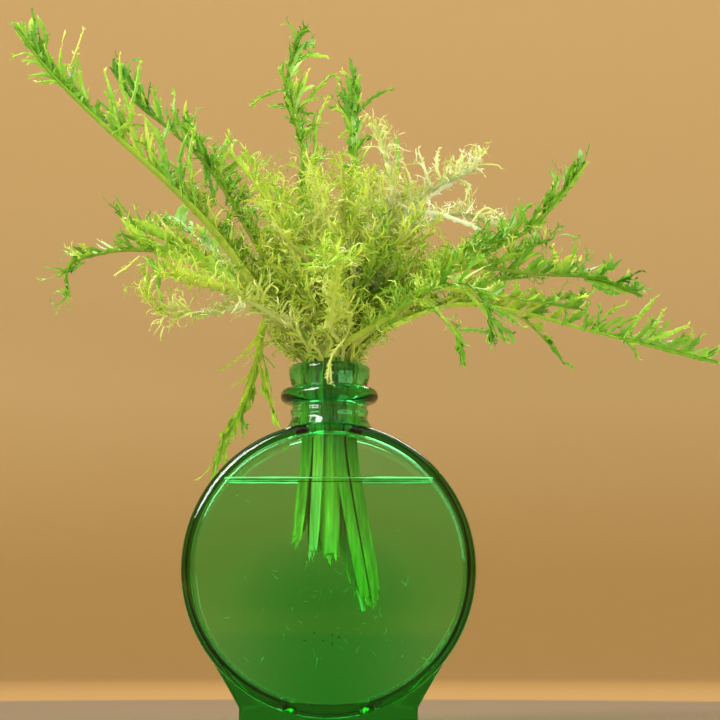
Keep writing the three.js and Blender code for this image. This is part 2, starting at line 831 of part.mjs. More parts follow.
function leafSolid(leaf, ribs, seed) {
  const random = seededRandom(seed);
  const solids = ribs.map(({ rib, curve, bareLength, sizeAt, sideways }) =>
    frondSolid({
      curve, sideways, bareLength, sizeAt, random,
      owner: leaf.name,
      lobeLength: rib.lobe,
      lift: rib.lift,
      spread: rib.spread,
    }),
  );
  return largestBody(wasm.Manifold.union(solids));
}

// A stalk's own shape grown by the clearance, which it stands in below the water level
function stalkHole({ curve, sideways, sizeAt }) {
  const grow = CLEARANCE + 0.1;
  const until = distanceToHeight(curve, WATER_LEVEL_Z + 4);
  const distances = [];
  for (let d = 0; d < until - STALK_STEP * 0.3; d += STALK_STEP) distances.push(d);
  distances.push(until);
  const stations = stationsOf(curve, distances, sideways);
  stations[0].place.addScaledVector(stations[0].forward, -grow * 2);
  const surface = new Surface();
  const rings = stations.map((station) => {
    const size = sizeAt(station.distance);
    return ringOf(surface, station, size.halfWidth + grow, size.halfDepth + grow);
  });
  for (let i = 0; i + 1 < rings.length; i++) {
    for (let k = 0; k < 4; k++) {
      const next = (k + 1) % 4;
      surface.quad(rings[i][k], rings[i][next], rings[i + 1][next], rings[i + 1][k]);
    }
  }
  const first = rings[0];
  const last = rings[rings.length - 1];
  surface.quad(first[3], first[2], first[1], first[0]);
  surface.quad(last[0], last[1], last[2], last[3]);
  return solidOf(surface.geometry());
}

function heartStalk() {
  const heights = [BORE_ENTRY_Z, RIM_Z + 1, HEART.bottomZ + 14];
  const points = [HEART.foot, ...heights.map((z) => [0, 0, z])].map(vector);
  const sizeAt = (distance) => ({
    halfWidth: HEART.stalkHalfWidth * footSwell(distance),
    halfDepth: HEART.stalkHalfDepth * footSwell(distance),
  });
  return { curve: curveThrough(points), sizeAt, sideways: new THREE.Vector3(0, 1, 0) };
}

// How far the core reaches from the axis: a pear shape, pulled in where a rib passes
function coreRadius(height, turn) {
  const rise = (height - HEART.bottomZ) / (HEART.topZ - HEART.bottomZ);
  const fullness = Math.sin(Math.PI * rise ** 0.8) ** 0.7;
  const most = Math.max(HEART.leastRadius, HEART.radius * fullness);
  for (let radius = 2 * HEART.leastRadius; radius < most; radius += 1) {
    const point = new THREE.Vector3(radius * Math.cos(turn), radius * Math.sin(turn), height);
    if (!taken.isFree(point, HEART.ribRoom, "heart")) return radius - 1;
  }
  return most;
}

function ballsToAxis(point) {
  const axis = new THREE.Vector3(0, 0, point.z);
  const count = Math.ceil(axis.distanceTo(point) / HEART.skin);
  return Array.from({ length: count }, (_, k) => {
    return { point: point.clone().lerp(axis, (k + 0.5) / count), radius: HEART.skin };
  });
}

function heartCore() {
  const surface = new Surface();
  const { bottomZ, topZ, sides, rings } = HEART;
  const grid = Array.from({ length: rings }, (_, i) => {
    const height = THREE.MathUtils.lerp(bottomZ, topZ, (i + 0.6) / (rings + 0.2));
    return Array.from({ length: sides }, (_unused, k) => {
      const turn = ((k + 0.5 * (i % 2)) / sides) * 2 * Math.PI;
      const radius = coreRadius(height, turn);
      const point = new THREE.Vector3(radius * Math.cos(turn), radius * Math.sin(turn), height);
      takeBalls(ballsToAxis(point), "heart");
      return surface.point(point);
    });
  });
  const bottom = surface.point(new THREE.Vector3(0, 0, bottomZ));
  const top = surface.point(new THREE.Vector3(0, 0, topZ));
  for (let k = 0; k < sides; k++) {
    const next = (k + 1) % sides;
    surface.triangle(bottom, grid[0][next], grid[0][k]);
    surface.triangle(top, grid[rings - 1][k], grid[rings - 1][next]);
    for (let i = 0; i + 1 < rings; i++) {
      const [low, high] = [grid[i], grid[i + 1]];
      if (i % 2 === 0) {
        surface.triangle(low[k], low[next], high[k]);
        surface.triangle(low[next], high[next], high[k]);
      } else {
        surface.triangle(low[k], high[next], high[k]);
        surface.triangle(low[k], low[next], high[next]);
      }
    }
  }
  return solidOf(surface.geometry());
}

// A small curled blade, rooted below the core's surface
function heartBlade(line) {
  const surface = new Surface();
  const half = BLADE_THICKNESS / 2;
  const ringAt = (place, width) =>
    CORNERS.map(([a, f]) => {
      const corner = place.clone().addScaledVector(line.across, -a * width);
      return surface.point(corner.addScaledVector(line.face, f * half));
    });
  const base = ringAt(line.place, HEART.bladeRootHalfWidth);
  const ring = ringAt(line.middle, HEART.bladeKneeHalfWidth);
  const end = surface.point(line.tip);
  for (let k = 0; k < 4; k++) {
    const next = (k + 1) % 4;
    surface.quad(base[k], base[next], ring[next], ring[k]);
    surface.triangle(ring[k], ring[next], end);
  }
  surface.quad(base[3], base[2], base[1], base[0]);
  return solidOf(surface.geometry());
}

function heartBladeLine(root, out, lean, length) {
  const across = out.clone().cross(lean).normalize();
  const face = across.clone().cross(out).normalize();
  const bend = out.clone().addScaledVector(lean, HEART.bladeBend).normalize();
  const middle = root.clone().addScaledVector(out, length * LOBE_KNEE);
  const tip = middle.clone().addScaledVector(bend, length * (1 - LOBE_KNEE));
  return { place: root, middle, tip, across, face };
}

// Blades spread evenly over the core by the golden angle, each as long as the space allows
function heartBlades(random) {
  const owner = "heart";
  const goldenAngle = Math.PI * (3 - Math.sqrt(5));
  const blades = [];
  for (let i = 0; i < HEART.blades; i++) {
    const rise = THREE.MathUtils.lerp(...HEART.bladeRise, (i + 0.5) / HEART.blades);
    const height = THREE.MathUtils.lerp(HEART.bottomZ, HEART.topZ, rise);
    const turn = i * goldenAngle;
    const radius = coreRadius(height, turn) * HEART.bladeRootDepth;
    const root = new THREE.Vector3(radius * Math.cos(turn), radius * Math.sin(turn), height);
    const upward = THREE.MathUtils.lerp(...HEART.bladeUpward, rise ** 2);
    const out = new THREE.Vector3(Math.cos(turn), Math.sin(turn), upward);
    const aside = HEART.bladeAside * between(random, [-1, 1]);
    out.add(new THREE.Vector3(-Math.sin(turn) * aside, Math.cos(turn) * aside, 0)).normalize();
    const lean = new THREE.Vector3(random() - 0.5, random() - 0.5, random() - 0.35);
    lean.addScaledVector(out, -lean.dot(out)).normalize();
    const longest = HEART.bladeLength * (0.75 + 0.25 * random());
    for (let length = longest; length > HEART.shortestBlade; length -= 2) {
      const line = heartBladeLine(root, out, lean, length);
      const balls = ballsAlong(line, length, HEART.bladeRootHalfWidth, HEART.bladeKneeHalfWidth);
      if (!ballsAreFree(balls, owner)) continue;
      takeBalls(balls, owner);
      blades.push(heartBlade(line));
      break;
    }
  }
  return blades;
}

function heartSolid(stalk) {
  const random = seededRandom(HEART.seed);
  const bareLength = 2 * stalk.curve.getLength();
  const stem = frondSolid({ ...stalk, owner: "heart", random, bareLength });
  return largestBody(wasm.Manifold.union([heartCore(), stem, ...heartBlades(random)]));
}

function meshOf(name, solid, colour, finish = {}) {
  const material = new THREE.MeshStandardMaterial({
    color: COLOURS[colour], roughness: 0.5, metalness: 0, ...finish,
  });
  const mesh = new THREE.Mesh(geometryOf(solid), material);
  mesh.name = name;
  return mesh;
}

function waterSolid(stalks) {
  const below = new THREE.BoxGeometry(200, 200, WATER_LEVEL_Z).translate(0, 0, WATER_LEVEL_Z / 2);
  const body = cavitySolid(CLEARANCE).intersect(solidOf(below));
  return largestBody(body.subtract(wasm.Manifold.union(stalks.map(stalkHole))));
}

const head = new THREE.Group();
head.name = "curly_endive_in_bottle";

// All ribs take their space first, so that lobes and blades keep clear of them
const leafRibs = LEAVES.map(ribsOf);
const heart = heartStalk();
leafRibs.forEach((ribs, i) => {
  ribs.forEach(({ curve, sizeAt, bareLength }) => {
    const bladeRoom = (distance) => (distance > bareLength ? 2 * BALL_MARGIN : 0);
    const radiusAt = (distance) => sizeAt(distance).halfWidth + bladeRoom(distance);
    takeRib(curve, radiusAt, LEAVES[i].name);
  });
});
takeRib(heart.curve, () => HEART.stalkHalfWidth + 2 * BALL_MARGIN, "heart");

head.add(meshOf("heart", heartSolid(heart), "heart"));
LEAVES.forEach((leaf, i) => {
  head.add(meshOf(leaf.name, leafSolid(leaf, leafRibs[i], LOBE_SEED + i), leaf.colour));
});
const stalks = [heart, ...leafRibs.map((ribs) => ribs[0])];
head.add(meshOf("glass_bottle", bottleSolid(), "glass", { roughness: 0.05 }));
head.add(meshOf("water", waterSolid(stalks), "water", { roughness: 0.05 }));

export default head;
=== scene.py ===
"""Looks of a curly endive head that stands in a round, flat-faced green glass bottle of water."""

import math

import bpy
import numpy as np
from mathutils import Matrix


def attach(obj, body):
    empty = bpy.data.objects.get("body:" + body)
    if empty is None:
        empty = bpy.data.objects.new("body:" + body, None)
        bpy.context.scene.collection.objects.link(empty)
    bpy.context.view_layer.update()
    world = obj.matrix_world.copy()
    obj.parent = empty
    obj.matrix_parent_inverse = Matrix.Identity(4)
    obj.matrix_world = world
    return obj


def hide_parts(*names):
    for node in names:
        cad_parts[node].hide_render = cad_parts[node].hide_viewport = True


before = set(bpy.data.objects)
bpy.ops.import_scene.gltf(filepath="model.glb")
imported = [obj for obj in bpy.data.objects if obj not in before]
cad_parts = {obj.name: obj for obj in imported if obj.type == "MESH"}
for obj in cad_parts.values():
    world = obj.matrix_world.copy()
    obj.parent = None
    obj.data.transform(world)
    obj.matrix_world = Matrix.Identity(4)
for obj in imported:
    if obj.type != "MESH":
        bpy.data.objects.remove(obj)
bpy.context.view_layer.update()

MM = 0.001
BODY = "root"

# Eye and picture plane of the photograph
EYE = np.array([12.2, -900.0, 28.6]) * MM
AIM = np.array([12.2, 0.0, 143.8]) * MM
FOCAL_MM = 113.4
SENSOR_MM = 36.0

# Bottle body: the solid's outline, with a tighter rounding round its faces
DISC_RADIUS = 57.4 * MM
DISC_CENTRE_Z = 60 * MM
DISC_DEPTH = 46 * MM
FACE_CROWN = 2.5 * MM
RIM_ROUND = 4 * MM
FOOT_HALF_WIDTH = 34.6 * MM
FOOT_HEIGHT = 6.5 * MM
FOOT_DEPTH = 31 * MM
FOOT_ROUND = 1.6 * MM
SWEEP_TURN = math.radians(33)
SWEEP_PULL = (38.4 * MM, 13.8 * MM)
SWEEP_INTO_DISC = 0.995
FOOT_MIDDLE_Z = 14 * MM

# Bottle neck, collar and lip
NECK_RADIUS = 15.1 * MM
NECK_BOTTOM_Z = 120 * MM
NECK_FLARE = 1.7 * MM
THREAD_Z = 122.8 * MM
THREAD_RISE = 0.6 * MM
THREAD_HALF = 2.2 * THREAD_RISE
COLLAR_RADIUS = 19.5 * MM
COLLAR_BOTTOM_Z = 126 * MM
COLLAR_TOP_Z = 132.3 * MM
LIP_FOOT_RADIUS = 14.9 * MM
LIP_RADIUS = 16.2 * MM
LIP_CROWN = 0.1 * MM
LIP_BULGE_Z = 139 * MM
RIM_Z = 141.6 * MM
BORE_RADIUS = 12.8 * MM

# Hollow: lower and wider than in the solid, whose faces lie WALL_THINNER further in.
# The THICK values shape the thicker glass in the lower middle of both faces.
CAVITY_RADIUS = 53.6 * MM
CAVITY_CENTRE_Z = 60 * MM
CAVITY_DEPTH = 38 * MM
CAVITY_ROUND = 2.2 * MM
CAVITY_FLOOR_Z = 8 * MM
CAVITY_FLOOR_RADIUS = 100 * MM
WALL_THINNER = 1.7 * MM
THICK_EXTRA = 4.2 * MM
THICK_HALF_WIDTH = 30 * MM
THICK_TOP_Z = 82 * MM
THICK_FULL_Z = 42 * MM

# Water, and the painted highlight along its edge on the glass, with a painted shade line under it
WATER_LEVEL_Z = 95 * MM
WATER_OVERLAP = 0.25 * MM
WATERLINE_FRONT_Z = 95.0 * MM
WATERLINE_BACK_Z = 94.5 * MM
WATERLINE_HALF = 0.45 * MM
WATERLINE_INSET = 0.3 * MM
WATERLINE_SPLIT_Z = 94.0 * MM
WATERLINE_PAINTED_SHADE_Z = 93.6 * MM
WATERLINE_PAINTED_SHADE_HALF = 0.2 * MM
MENISCUS_HEIGHT = 0.5 * MM
MENISCUS_REACH = 1.1 * MM
AIR_TOP_Z = 160 * MM
AIR_MARGIN_X = 9 * MM
AIR_MARGIN_Y = 6 * MM

# Stalks in the bore, in millimetres. STALK_SPREAD is how much wider they are there, as a share.
# At the heights in the first of the three lists below, the second raises their tone to a darker green and
# the third darkens their colour: painted shade below the rim, deepest in the bore.
OUTER_RING_RADIUS = 9.7
INNER_RING_RADIUS = 5.4
INNER_RING_TURN = 15
BORE_ENTRY_Z = 108
STALKS_MIDDLE_X = 3.5
STALKS_REACH_X = 13
STALK_HALF_WIDTH = 2.25
STALK_HALF_DEPTH = 1.5
STALK_SPREAD = 0.75
STALK_PAINTED_SHADE_Z = [50, 95, 118, 138, 146]
STALK_PAINTED_SHADE_TONE = [0.05, 0.15, 0.5, 0.6, 0.0]
STALK_PAINTED_SHADE = [0.85, 0.66, 0.5, 0.6, 1.0]

# Streaks in the stalks' colour: their strength, and how far below the rim they fade out
STREAK_DEPTH = 1.9
STREAK_FADE = 5 * MM


def set_material(obj, material):
    obj.data.materials.clear()
    obj.data.materials.append(material)


def new_object(name, mesh, material):
    obj = bpy.data.objects.new(name, mesh)
    bpy.context.scene.collection.objects.link(obj)
    set_material(obj, material)
    return obj


def piece(obj, slot, *nodes):
    """Makes obj a piece of the model that stands for CAD nodes."""
    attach(obj, BODY)
    if nodes:
        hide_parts(*nodes)
    return obj


# Node materials


def material_tree(name):
    material = bpy.data.materials.new(name)
    material.use_nodes = True
    tree = material.node_tree
    tree.nodes.clear()
    output = tree.nodes.new("ShaderNodeOutputMaterial")
    return material, tree, output


def add_node(tree, kind, values=None, **settings):
    node = tree.nodes.new(kind)
    for key, value in settings.items():
        setattr(node, key, value)
    for key, value in (values or {}).items():
        node.inputs[key].default_value = value
    return node


def mix_colours(tree, factor, first, second):
    """First where the factor is 0, second where it is 1. Each is a colour or a node's output."""
    node = tree.nodes.new("ShaderNodeMixRGB")
    tree.links.new(factor, node.inputs["Fac"])
    for socket, colour in (("Color1", first), ("Color2", second)):
        if isinstance(colour, tuple):
            node.inputs[socket].default_value = (*colour, 1)
        else:
            tree.links.new(colour, node.inputs[socket])
    return node.outputs["Color"]


def math_node(tree, operation, *values, clamp=False):
    """The result of a maths node whose inputs are numbers or nodes' outputs."""
    node = add_node(tree, "ShaderNodeMath", operation=operation, use_clamp=clamp)
    for socket, value in zip(node.inputs, values):
        if isinstance(value, float):
            socket.default_value = value
        else:
            tree.links.new(value, socket)
    return node.outputs[0]


def noise_node(tree, vector, scale, detail):
    node = add_node(tree, "ShaderNodeTexNoise", {"Scale": scale, "Detail": detail})
    tree.links.new(vector, node.inputs["Vector"])
    return node.outputs["Fac"]


def bump_node(tree, height, strength, distance):
    node = add_node(tree, "ShaderNodeBump", {"Strength": strength, "Distance": distance})
    tree.links.new(height, node.inputs["Height"])
    return node.outputs["Normal"]


def ramp_node(tree, factor, stops):
    """A colour ramp with stops as (position, linear colour)."""
    node = tree.nodes.new("ShaderNodeValToRGB")
    elements = node.color_ramp.elements
    while len(elements) > 1:
        elements.remove(elements[-1])
    elements[0].position = stops[0][0]
    elements[0].color = (*stops[0][1], 1)
    for position, colour in stops[1:]:
        elements.new(position).color = (*colour, 1)
    tree.links.new(factor, node.inputs["Fac"])
    return node.outputs["Color"]


def linear(red, green, blue):
    """A linear colour from its 0 to 255 sRGB values."""
    shares = np.array([red, green, blue]) / 255
    return tuple(np.where(shares > 0.04045, ((shares + 0.055) / 1.055) ** 2.4, shares / 12.92))


LEAF_STOPS = [
    (0.0, linear(228, 232, 204)),
    (0.18, linear(209, 215, 136)),
    (0.38, linear(204, 216, 76)),
    (0.58, linear(144, 192, 50)),
    (0.78, linear(88, 156, 40)),
    (1.0, linear(40, 102, 28)),
]

# Stage colours: the wall's by height in metres, the table's and the one that other things are lit by
WALL_STOPS = [
    (0.0, linear(135, 104, 57)),
    (0.12, linear(142, 110, 62)),
    (0.36, linear(167, 137, 89)),
    (0.95, linear(183, 150, 99)),
]
TABLE = linear(101, 84, 62)
TABLE_EDGE = 0.42
TABLE_BLEND = 0.05
BOUNCE = (0.5, 0.47, 0.42)


def leaf_material(name, translucency=0.5):
    """Leaf tissue. The tone attribute's red runs from cream to dark green, and its green scales the
    colour: painted shade on the stalks, sheaths and heart ribs, and the darkness of the glass specks.
    """
    material, tree, output = material_tree(name)
    link = tree.links.new
    tone = add_node(tree, "ShaderNodeAttribute", attribute_name="tone")
    split = add_node(tree, "ShaderNodeSeparateColor")
    link(tone.outputs["Color"], split.inputs["Color"])
    place = add_node(tree, "ShaderNodeTexCoord").outputs["Object"]
    mottle = math_node(tree, "MULTIPLY_ADD", noise_node(tree, place, 260.0, 4.0), 0.16, -0.08)
    total = math_node(tree, "ADD", split.outputs["Red"], mottle, clamp=True)
    tissue = ramp_node(tree, total, LEAF_STOPS)

    # Streaks along the stalks, which fade out at the rim
    drawn = add_node(tree, "ShaderNodeMapping", {"Scale": (700.0, 700.0, 40.0)})
    link(place, drawn.inputs["Vector"])
    streaks = noise_node(tree, drawn.outputs["Vector"], 1.0, 2.0)
    height = add_node(tree, "ShaderNodeSeparateXYZ")
    link(place, height.inputs[0])
    stalk = add_node(
        tree, "ShaderNodeMapRange",
        {"From Min": RIM_Z, "From Max": RIM_Z - STREAK_FADE, "To Min": 0.0, "To Max": STREAK_DEPTH},
    )
    link(height.outputs["Z"], stalk.inputs["Value"])
    centred = math_node(tree, "SUBTRACT", streaks, 0.5)
    streaked = math_node(tree, "MULTIPLY_ADD", centred, stalk.outputs[0], 1.0)
    shade = math_node(tree, "MULTIPLY", split.outputs["Green"], streaked)
    shaded = add_node(tree, "ShaderNodeVectorMath", operation="SCALE")
    link(tissue, shaded.inputs[0])
    link(shade, shaded.inputs["Scale"])
    colour = shaded.outputs[0]

    veins = bump_node(tree, noise_node(tree, place, 1400.0, 2.0), 0.25, 0.0003)
    surface = add_node(
        tree, "ShaderNodeBsdfPrincipled",
        {"Roughness": 0.42, "Specular IOR Level": 0.5, "Coat Weight": 0.12, "Coat Roughness": 0.25},
    )
    through = add_node(tree, "ShaderNodeBsdfTranslucent")
    mix = add_node(tree, "ShaderNodeMixShader", {"Fac": translucency})
    link(colour, surface.inputs["Base Color"])
    link(colour, through.inputs["Color"])
    link(veins, surface.inputs["Normal"])
    link(surface.outputs[0], mix.inputs[1])
    link(through.outputs[0], mix.inputs[2])
    link(mix.outputs[0], output.inputs["Surface"])
    return material


def lit_through(tree, surface, output):
    """Shows surface, but lets the lamps' light through, so that what is behind the glass is lit."""
    path = add_node(tree, "ShaderNodeLightPath")
    clear = add_node(tree, "ShaderNodeBsdfTransparent")
    mix = add_node(tree, "ShaderNodeMixShader")
    tree.links.new(path.outputs["Is Shadow Ray"], mix.inputs["Fac"])
    tree.links.new(surface, mix.inputs[1])
    tree.links.new(clear.outputs[0], mix.inputs[2])
    tree.links.new(mix.outputs[0], output.inputs["Surface"])


def glass_material():
    """Thick green bottle glass with faint waviness."""
    material, tree, output = material_tree("green_glass")
    link = tree.links.new
    place = add_node(tree, "ShaderNodeTexCoord").outputs["Object"]
    waves = bump_node(tree, noise_node(tree, place, 22.0, 1.0), 0.05, 0.002)
    glass = add_node(
        tree, "ShaderNodeBsdfPrincipled",
        {"Base Color": (0.98, 1.0, 0.98, 1), "Roughness": 0.012, "IOR": 1.5, "Transmission Weight": 1.0},
    )
    link(waves, glass.inputs["Normal"])
    depth = add_node(
        tree, "ShaderNodeVolumeAbsorption",
        {"Color": (0.077, 0.885, 0.423, 1), "Density": 260.0},
    )
    lit_through(tree, glass.outputs[0], output)
    link(depth.outputs[0], output.inputs["Volume"])
    return material


def water_material():
    """Still water, tinted a little by the green light that the glass throws into it."""
    material, tree, output = material_tree("water")
    water = add_node(
        tree, "ShaderNodeBsdfPrincipled",
        {"Base Color": (0.72, 1.0, 0.74, 1), "Roughness": 0.0, "IOR": 1.333, "Transmission Weight": 1.0},
    )
    lit_through(tree, water.outputs[0], output)
    return material


def stage_material():
    """A plain tabletop and an ochre wall round it, darker low down. Their bounced light is neutral."""
    material, tree, output = material_tree("stage")
    link = tree.links.new
    place = add_node(tree, "ShaderNodeTexCoord").outputs["Object"]
    distance = add_node(tree, "ShaderNodeVectorMath", operation="LENGTH")
    link(place, distance.inputs[0])
    split = add_node(tree, "ShaderNodeSeparateXYZ")
    link(place, split.inputs[0])
    wall = ramp_node(tree, split.outputs["Z"], WALL_STOPS)
    edge = {"From Min": TABLE_EDGE, "From Max": TABLE_EDGE + TABLE_BLEND}
    beyond = add_node(tree, "ShaderNodeMapRange", edge)
    link(distance.outputs["Value"], beyond.inputs["Value"])
    tone = mix_colours(tree, beyond.outputs[0], TABLE, wall)
    path = add_node(tree, "ShaderNodeLightPath")
    seen = mix_colours(tree, path.outputs["Is Diffuse Ray"], tone, BOUNCE)
    surface = add_node(tree, "ShaderNodeBsdfPrincipled", {"Roughness": 0.85, "Specular IOR Level": 0.1})
    link(seen, surface.inputs["Base Color"])
    link(surface.outputs[0], output.inputs["Surface"])
    return material


# Bottle, from smooth turned and swept solids


def smooth(mesh):
    mesh.polygons.foreach_set("use_smooth", np.ones(len(mesh.polygons), bool))


def new_mesh(name, points, faces):
    mesh = bpy.data.meshes.new(name)
    mesh.from_pydata(points, [], faces)
    mesh.update()
    return mesh


def mesh_from_rings(name, rings, open_end=False):
    """A mesh from rings of points, with a face in the first ring and, unless it is open, in the last."""
    count = len(rings[0])
    points = [point for ring in rings for point in ring]
    faces = [list(range(count))[::-1]]
    for i in range(len(rings) - 1):
        for k in range(count):
            low = i * count + k
            low_next = i * count + (k + 1) % count
            faces.append([low, low_next, low_next + count, low + count])
    if not open_end:
        faces.append([(len(rings) - 1) * count + k for k in range(count)])
    return new_mesh(name, points, faces)


def turned_mesh(name, profile, sides, axis="Z", centre=0.0, open_end=False):
    """A mesh turned from (radius, height) points about Z, or about Y through centre."""
    rings = []
    for radius, height in profile:
        ring = []
        for k in range(sides):
            angle = 2 * math.pi * k / sides
            across = radius * math.cos(angle)
            other = radius * math.sin(angle)
            ring.append((across, other, height) if axis == "Z" else (across, height, centre - other))
        rings.append(ring)
    return mesh_from_rings(name, rings, open_end)


def disc_mesh(name, radius, depth, crown, rounding, centre_z, sides):
    """A flat-faced disc on its edge. Its faces sink by crown from the middle out and are rounded there."""
    half = depth / 2
    flat = radius - rounding
    shares = [0.02, 0.2, 0.4, 0.6, 0.8, 0.93]
    front = [(flat * share, -half + crown * share**2) for share in shares]
    steps = 10
    for k in range(steps + 1):
        turn = math.pi / 2 * k / steps
        inward = -half + crown + rounding * (1 - math.cos(turn))
        front.append((flat + rounding * math.sin(turn), inward))
    back = [(r, -y) for r, y in reversed(front)]
    return turned_mesh(name, front + back, sides, "Y", centre_z)


def quadratic(start, pull, end, steps):
    """Points on a curve from start to end that leans towards pull."""
    shares = np.linspace(0, 1, steps + 1)[:, None]
    start, pull, end = (np.array(p, float) for p in (start, pull, end))
    curve = (1 - shares) ** 2 * start + 2 * shares * (1 - shares) * pull + shares**2 * end
    return [tuple(p) for p in curve]


def foot_mesh():
    """The foot: straight sides that sweep out into the disc, with rounded front and back edges."""
    reach = DISC_RADIUS * SWEEP_INTO_DISC
    top = (reach * math.cos(SWEEP_TURN), DISC_CENTRE_Z - reach * math.sin(SWEEP_TURN))
    right = [(FOOT_HALF_WIDTH, 0.0)] + quadratic((FOOT_HALF_WIDTH, FOOT_HEIGHT), SWEEP_PULL, top, 14)
    outline = right + [(-x, z) for x, z in reversed(right)]
    half = FOOT_DEPTH / 2
    centre = np.array([0, FOOT_MIDDLE_Z])
    steps = 6
    edge = []
    for k in range(steps + 1):
        turn = math.pi / 2 * k / steps
        edge.append((FOOT_ROUND * (1 - math.sin(turn)), -half + FOOT_ROUND * (1 - math.cos(turn))))
    edge += [(inset, -y) for inset, y in reversed(edge)]
    rings = []
    for inset, y in edge:
        ring = []
        for x, z in outline:
            lead = centre - np.array([x, z])
            lead = lead / np.linalg.norm(lead) * inset
            ring.append((x + lead[0], y, max(0.0, z + lead[1] * (z > MM))))
        rings.append(ring)
    return mesh_from_rings("foot", rings)


def arc(centre, radius, start, end, steps):
    """Points (across, height) on an arc between two angles in degrees."""
    turns = [math.radians(start + (end - start) * k / steps) for k in range(steps + 1)]
    return [(centre[0] + radius * math.cos(t), centre[1] + radius * math.sin(t)) for t in turns]


def rounded(profile, rounding, steps=5):
    """A profile with each inner corner cut by a smooth curve."""
    points = [profile[0]]
    for before, corner, after in zip(profile, profile[1:], profile[2:]):
        before, corner, after = (np.array(p, float) for p in (before, corner, after))
        back, ahead = np.linalg.norm(before - corner), np.linalg.norm(after - corner)
        reach = min(rounding, back * 0.48, ahead * 0.48)
        start = corner + (before - corner) / back * reach
        end = corner + (after - corner) / ahead * reach
        points += quadratic(start, corner, end, steps)
    return points + [profile[-1]]


def neck_mesh(sides):
    """The neck with its thread, the collar and the lip, turned about the bottle's axis."""
    middle = (COLLAR_BOTTOM_Z + COLLAR_TOP_Z) / 2
    half = (COLLAR_TOP_Z - COLLAR_BOTTOM_Z) / 2
    root = DISC_CENTRE_Z + CAVITY_RADIUS * 0.7
    collar_reach = COLLAR_RADIUS - half
    foot = [
        (NECK_RADIUS + NECK_FLARE, root),
        (NECK_RADIUS + NECK_FLARE, NECK_BOTTOM_Z - 2 * NECK_FLARE),
        (NECK_RADIUS, NECK_BOTTOM_Z),
        (NECK_RADIUS, THREAD_Z - THREAD_HALF),
        (NECK_RADIUS + THREAD_RISE, THREAD_Z),
        (NECK_RADIUS, THREAD_Z + THREAD_HALF),
        (NECK_RADIUS, COLLAR_BOTTOM_Z - THREAD_RISE),
        (collar_reach, COLLAR_BOTTOM_Z),
    ]
    lip = [
        (collar_reach, COLLAR_TOP_Z),
        (LIP_FOOT_RADIUS, COLLAR_TOP_Z + 0.3 * MM),
        (LIP_RADIUS - LIP_CROWN, LIP_BULGE_Z - 2 * MM),
        (LIP_RADIUS, LIP_BULGE_Z),
        (LIP_RADIUS - LIP_CROWN, RIM_Z - 1.1 * MM),
        (LIP_RADIUS - 1.6 * MM, RIM_Z),
        (LIP_RADIUS - 2.2 * MM, RIM_Z),
    ]
    collar = arc((collar_reach, middle), half, -80, 80, 12)
    return turned_mesh("neck", rounded(foot, 0.9 * MM) + collar + rounded(lip, 1.3 * MM), sides)


def bore_mesh(sides):
    """What is cut from the neck: a round bore that opens out at the rim."""
    flare = 1.0 * MM
    profile = [(BORE_RADIUS, DISC_CENTRE_Z + CAVITY_RADIUS * 0.6), (BORE_RADIUS, RIM_Z - flare)]
    profile += arc((BORE_RADIUS + flare, RIM_Z - flare), flare, 180, 90, 6)[1:]
    profile.append((BORE_RADIUS + flare, RIM_Z + 2 * MM))
    return turned_mesh("bore", profile, sides)


def joined(target, mesh, operation):
    """Target's mesh after a boolean with another mesh, which is then removed."""
    other = bpy.data.objects.new("cutter", mesh)
    bpy.context.scene.collection.objects.link(other)
    modifier = target.modifiers.new("join", "BOOLEAN")
    modifier.operation = operation
    modifier.solver = "EXACT"
    modifier.object = other
    graph = bpy.context.evaluated_depsgraph_get()
    made = bpy.data.meshes.new_from_object(target.evaluated_get(graph))
    target.modifiers.clear()
    target.data = made
    bpy.data.objects.remove(other)
    return target


def smooth_by_angle(mesh, degrees):
    smooth(mesh)
    mesh.set_sharp_from_angle(angle=math.radians(degrees))
    mesh.update()


def extra_glass(x, z):
    """How much thicker the glass of a face is at a place, most of all in its lower middle."""
    low = ((THICK_TOP_Z - z) / (THICK_TOP_Z - THICK_FULL_Z)).clip(0, 1)
    return THICK_EXTRA * np.exp(-((x / THICK_HALF_WIDTH) ** 2)) * low**2 * (3 - 2 * low)


def hollow_object(name, grow, sides, material):
    """The bottle's hollow, or the water's outline in it, grown by a little."""
    depth = CAVITY_DEPTH + 2 * (WALL_THINNER + grow)
    disc = disc_mesh(
        name, CAVITY_RADIUS + grow, depth, FACE_CROWN, CAVITY_ROUND + grow, CAVITY_CENTRE_Z, sides,
    )
    radius = CAVITY_FLOOR_RADIUS + grow
    centre = CAVITY_FLOOR_Z + CAVITY_FLOOR_RADIUS
    floor = turned_mesh("floor", [(radius, -DISC_DEPTH), (radius, DISC_DEPTH)], 360, "Y", centre)
    hollow = joined(new_object(name, disc, material), floor, "INTERSECT")
    points = np.empty(len(hollow.data.vertices) * 3)
    hollow.data.vertices.foreach_get("co", points)
    points = points.reshape(-1, 3)
    x, y, z = points.T
    on_face = abs(y) > CAVITY_DEPTH / 2 - FACE_CROWN - CAVITY_ROUND * 0.5
    points[:, 1] = y - np.sign(y) * extra_glass(x, z) * on_face
    hollow.data.vertices.foreach_set("co", points.ravel())
    return hollow


def build_bottle(material):
    """The bottle: disc, foot and neck joined, less the hollow and the bore."""
    sides = 144
    disc = disc_mesh("bottle", DISC_RADIUS, DISC_DEPTH, FACE_CROWN, RIM_ROUND, DISC_CENTRE_Z, sides)
    bottle = new_object("bottle_glass", disc, material)
    joined(bottle, foot_mesh(), "UNION")
    joined(bottle, neck_mesh(96), "UNION")
    hollow = hollow_object("hollow", 0, sides, material)
    joined(bottle, hollow.data, "DIFFERENCE")
    bpy.data.objects.remove(hollow)
    joined(bottle, bore_mesh(80), "DIFFERENCE")
    set_material(bottle, material)
    smooth_by_angle(bottle.data, 32)
    return piece(bottle, "glass", "glass_bottle")


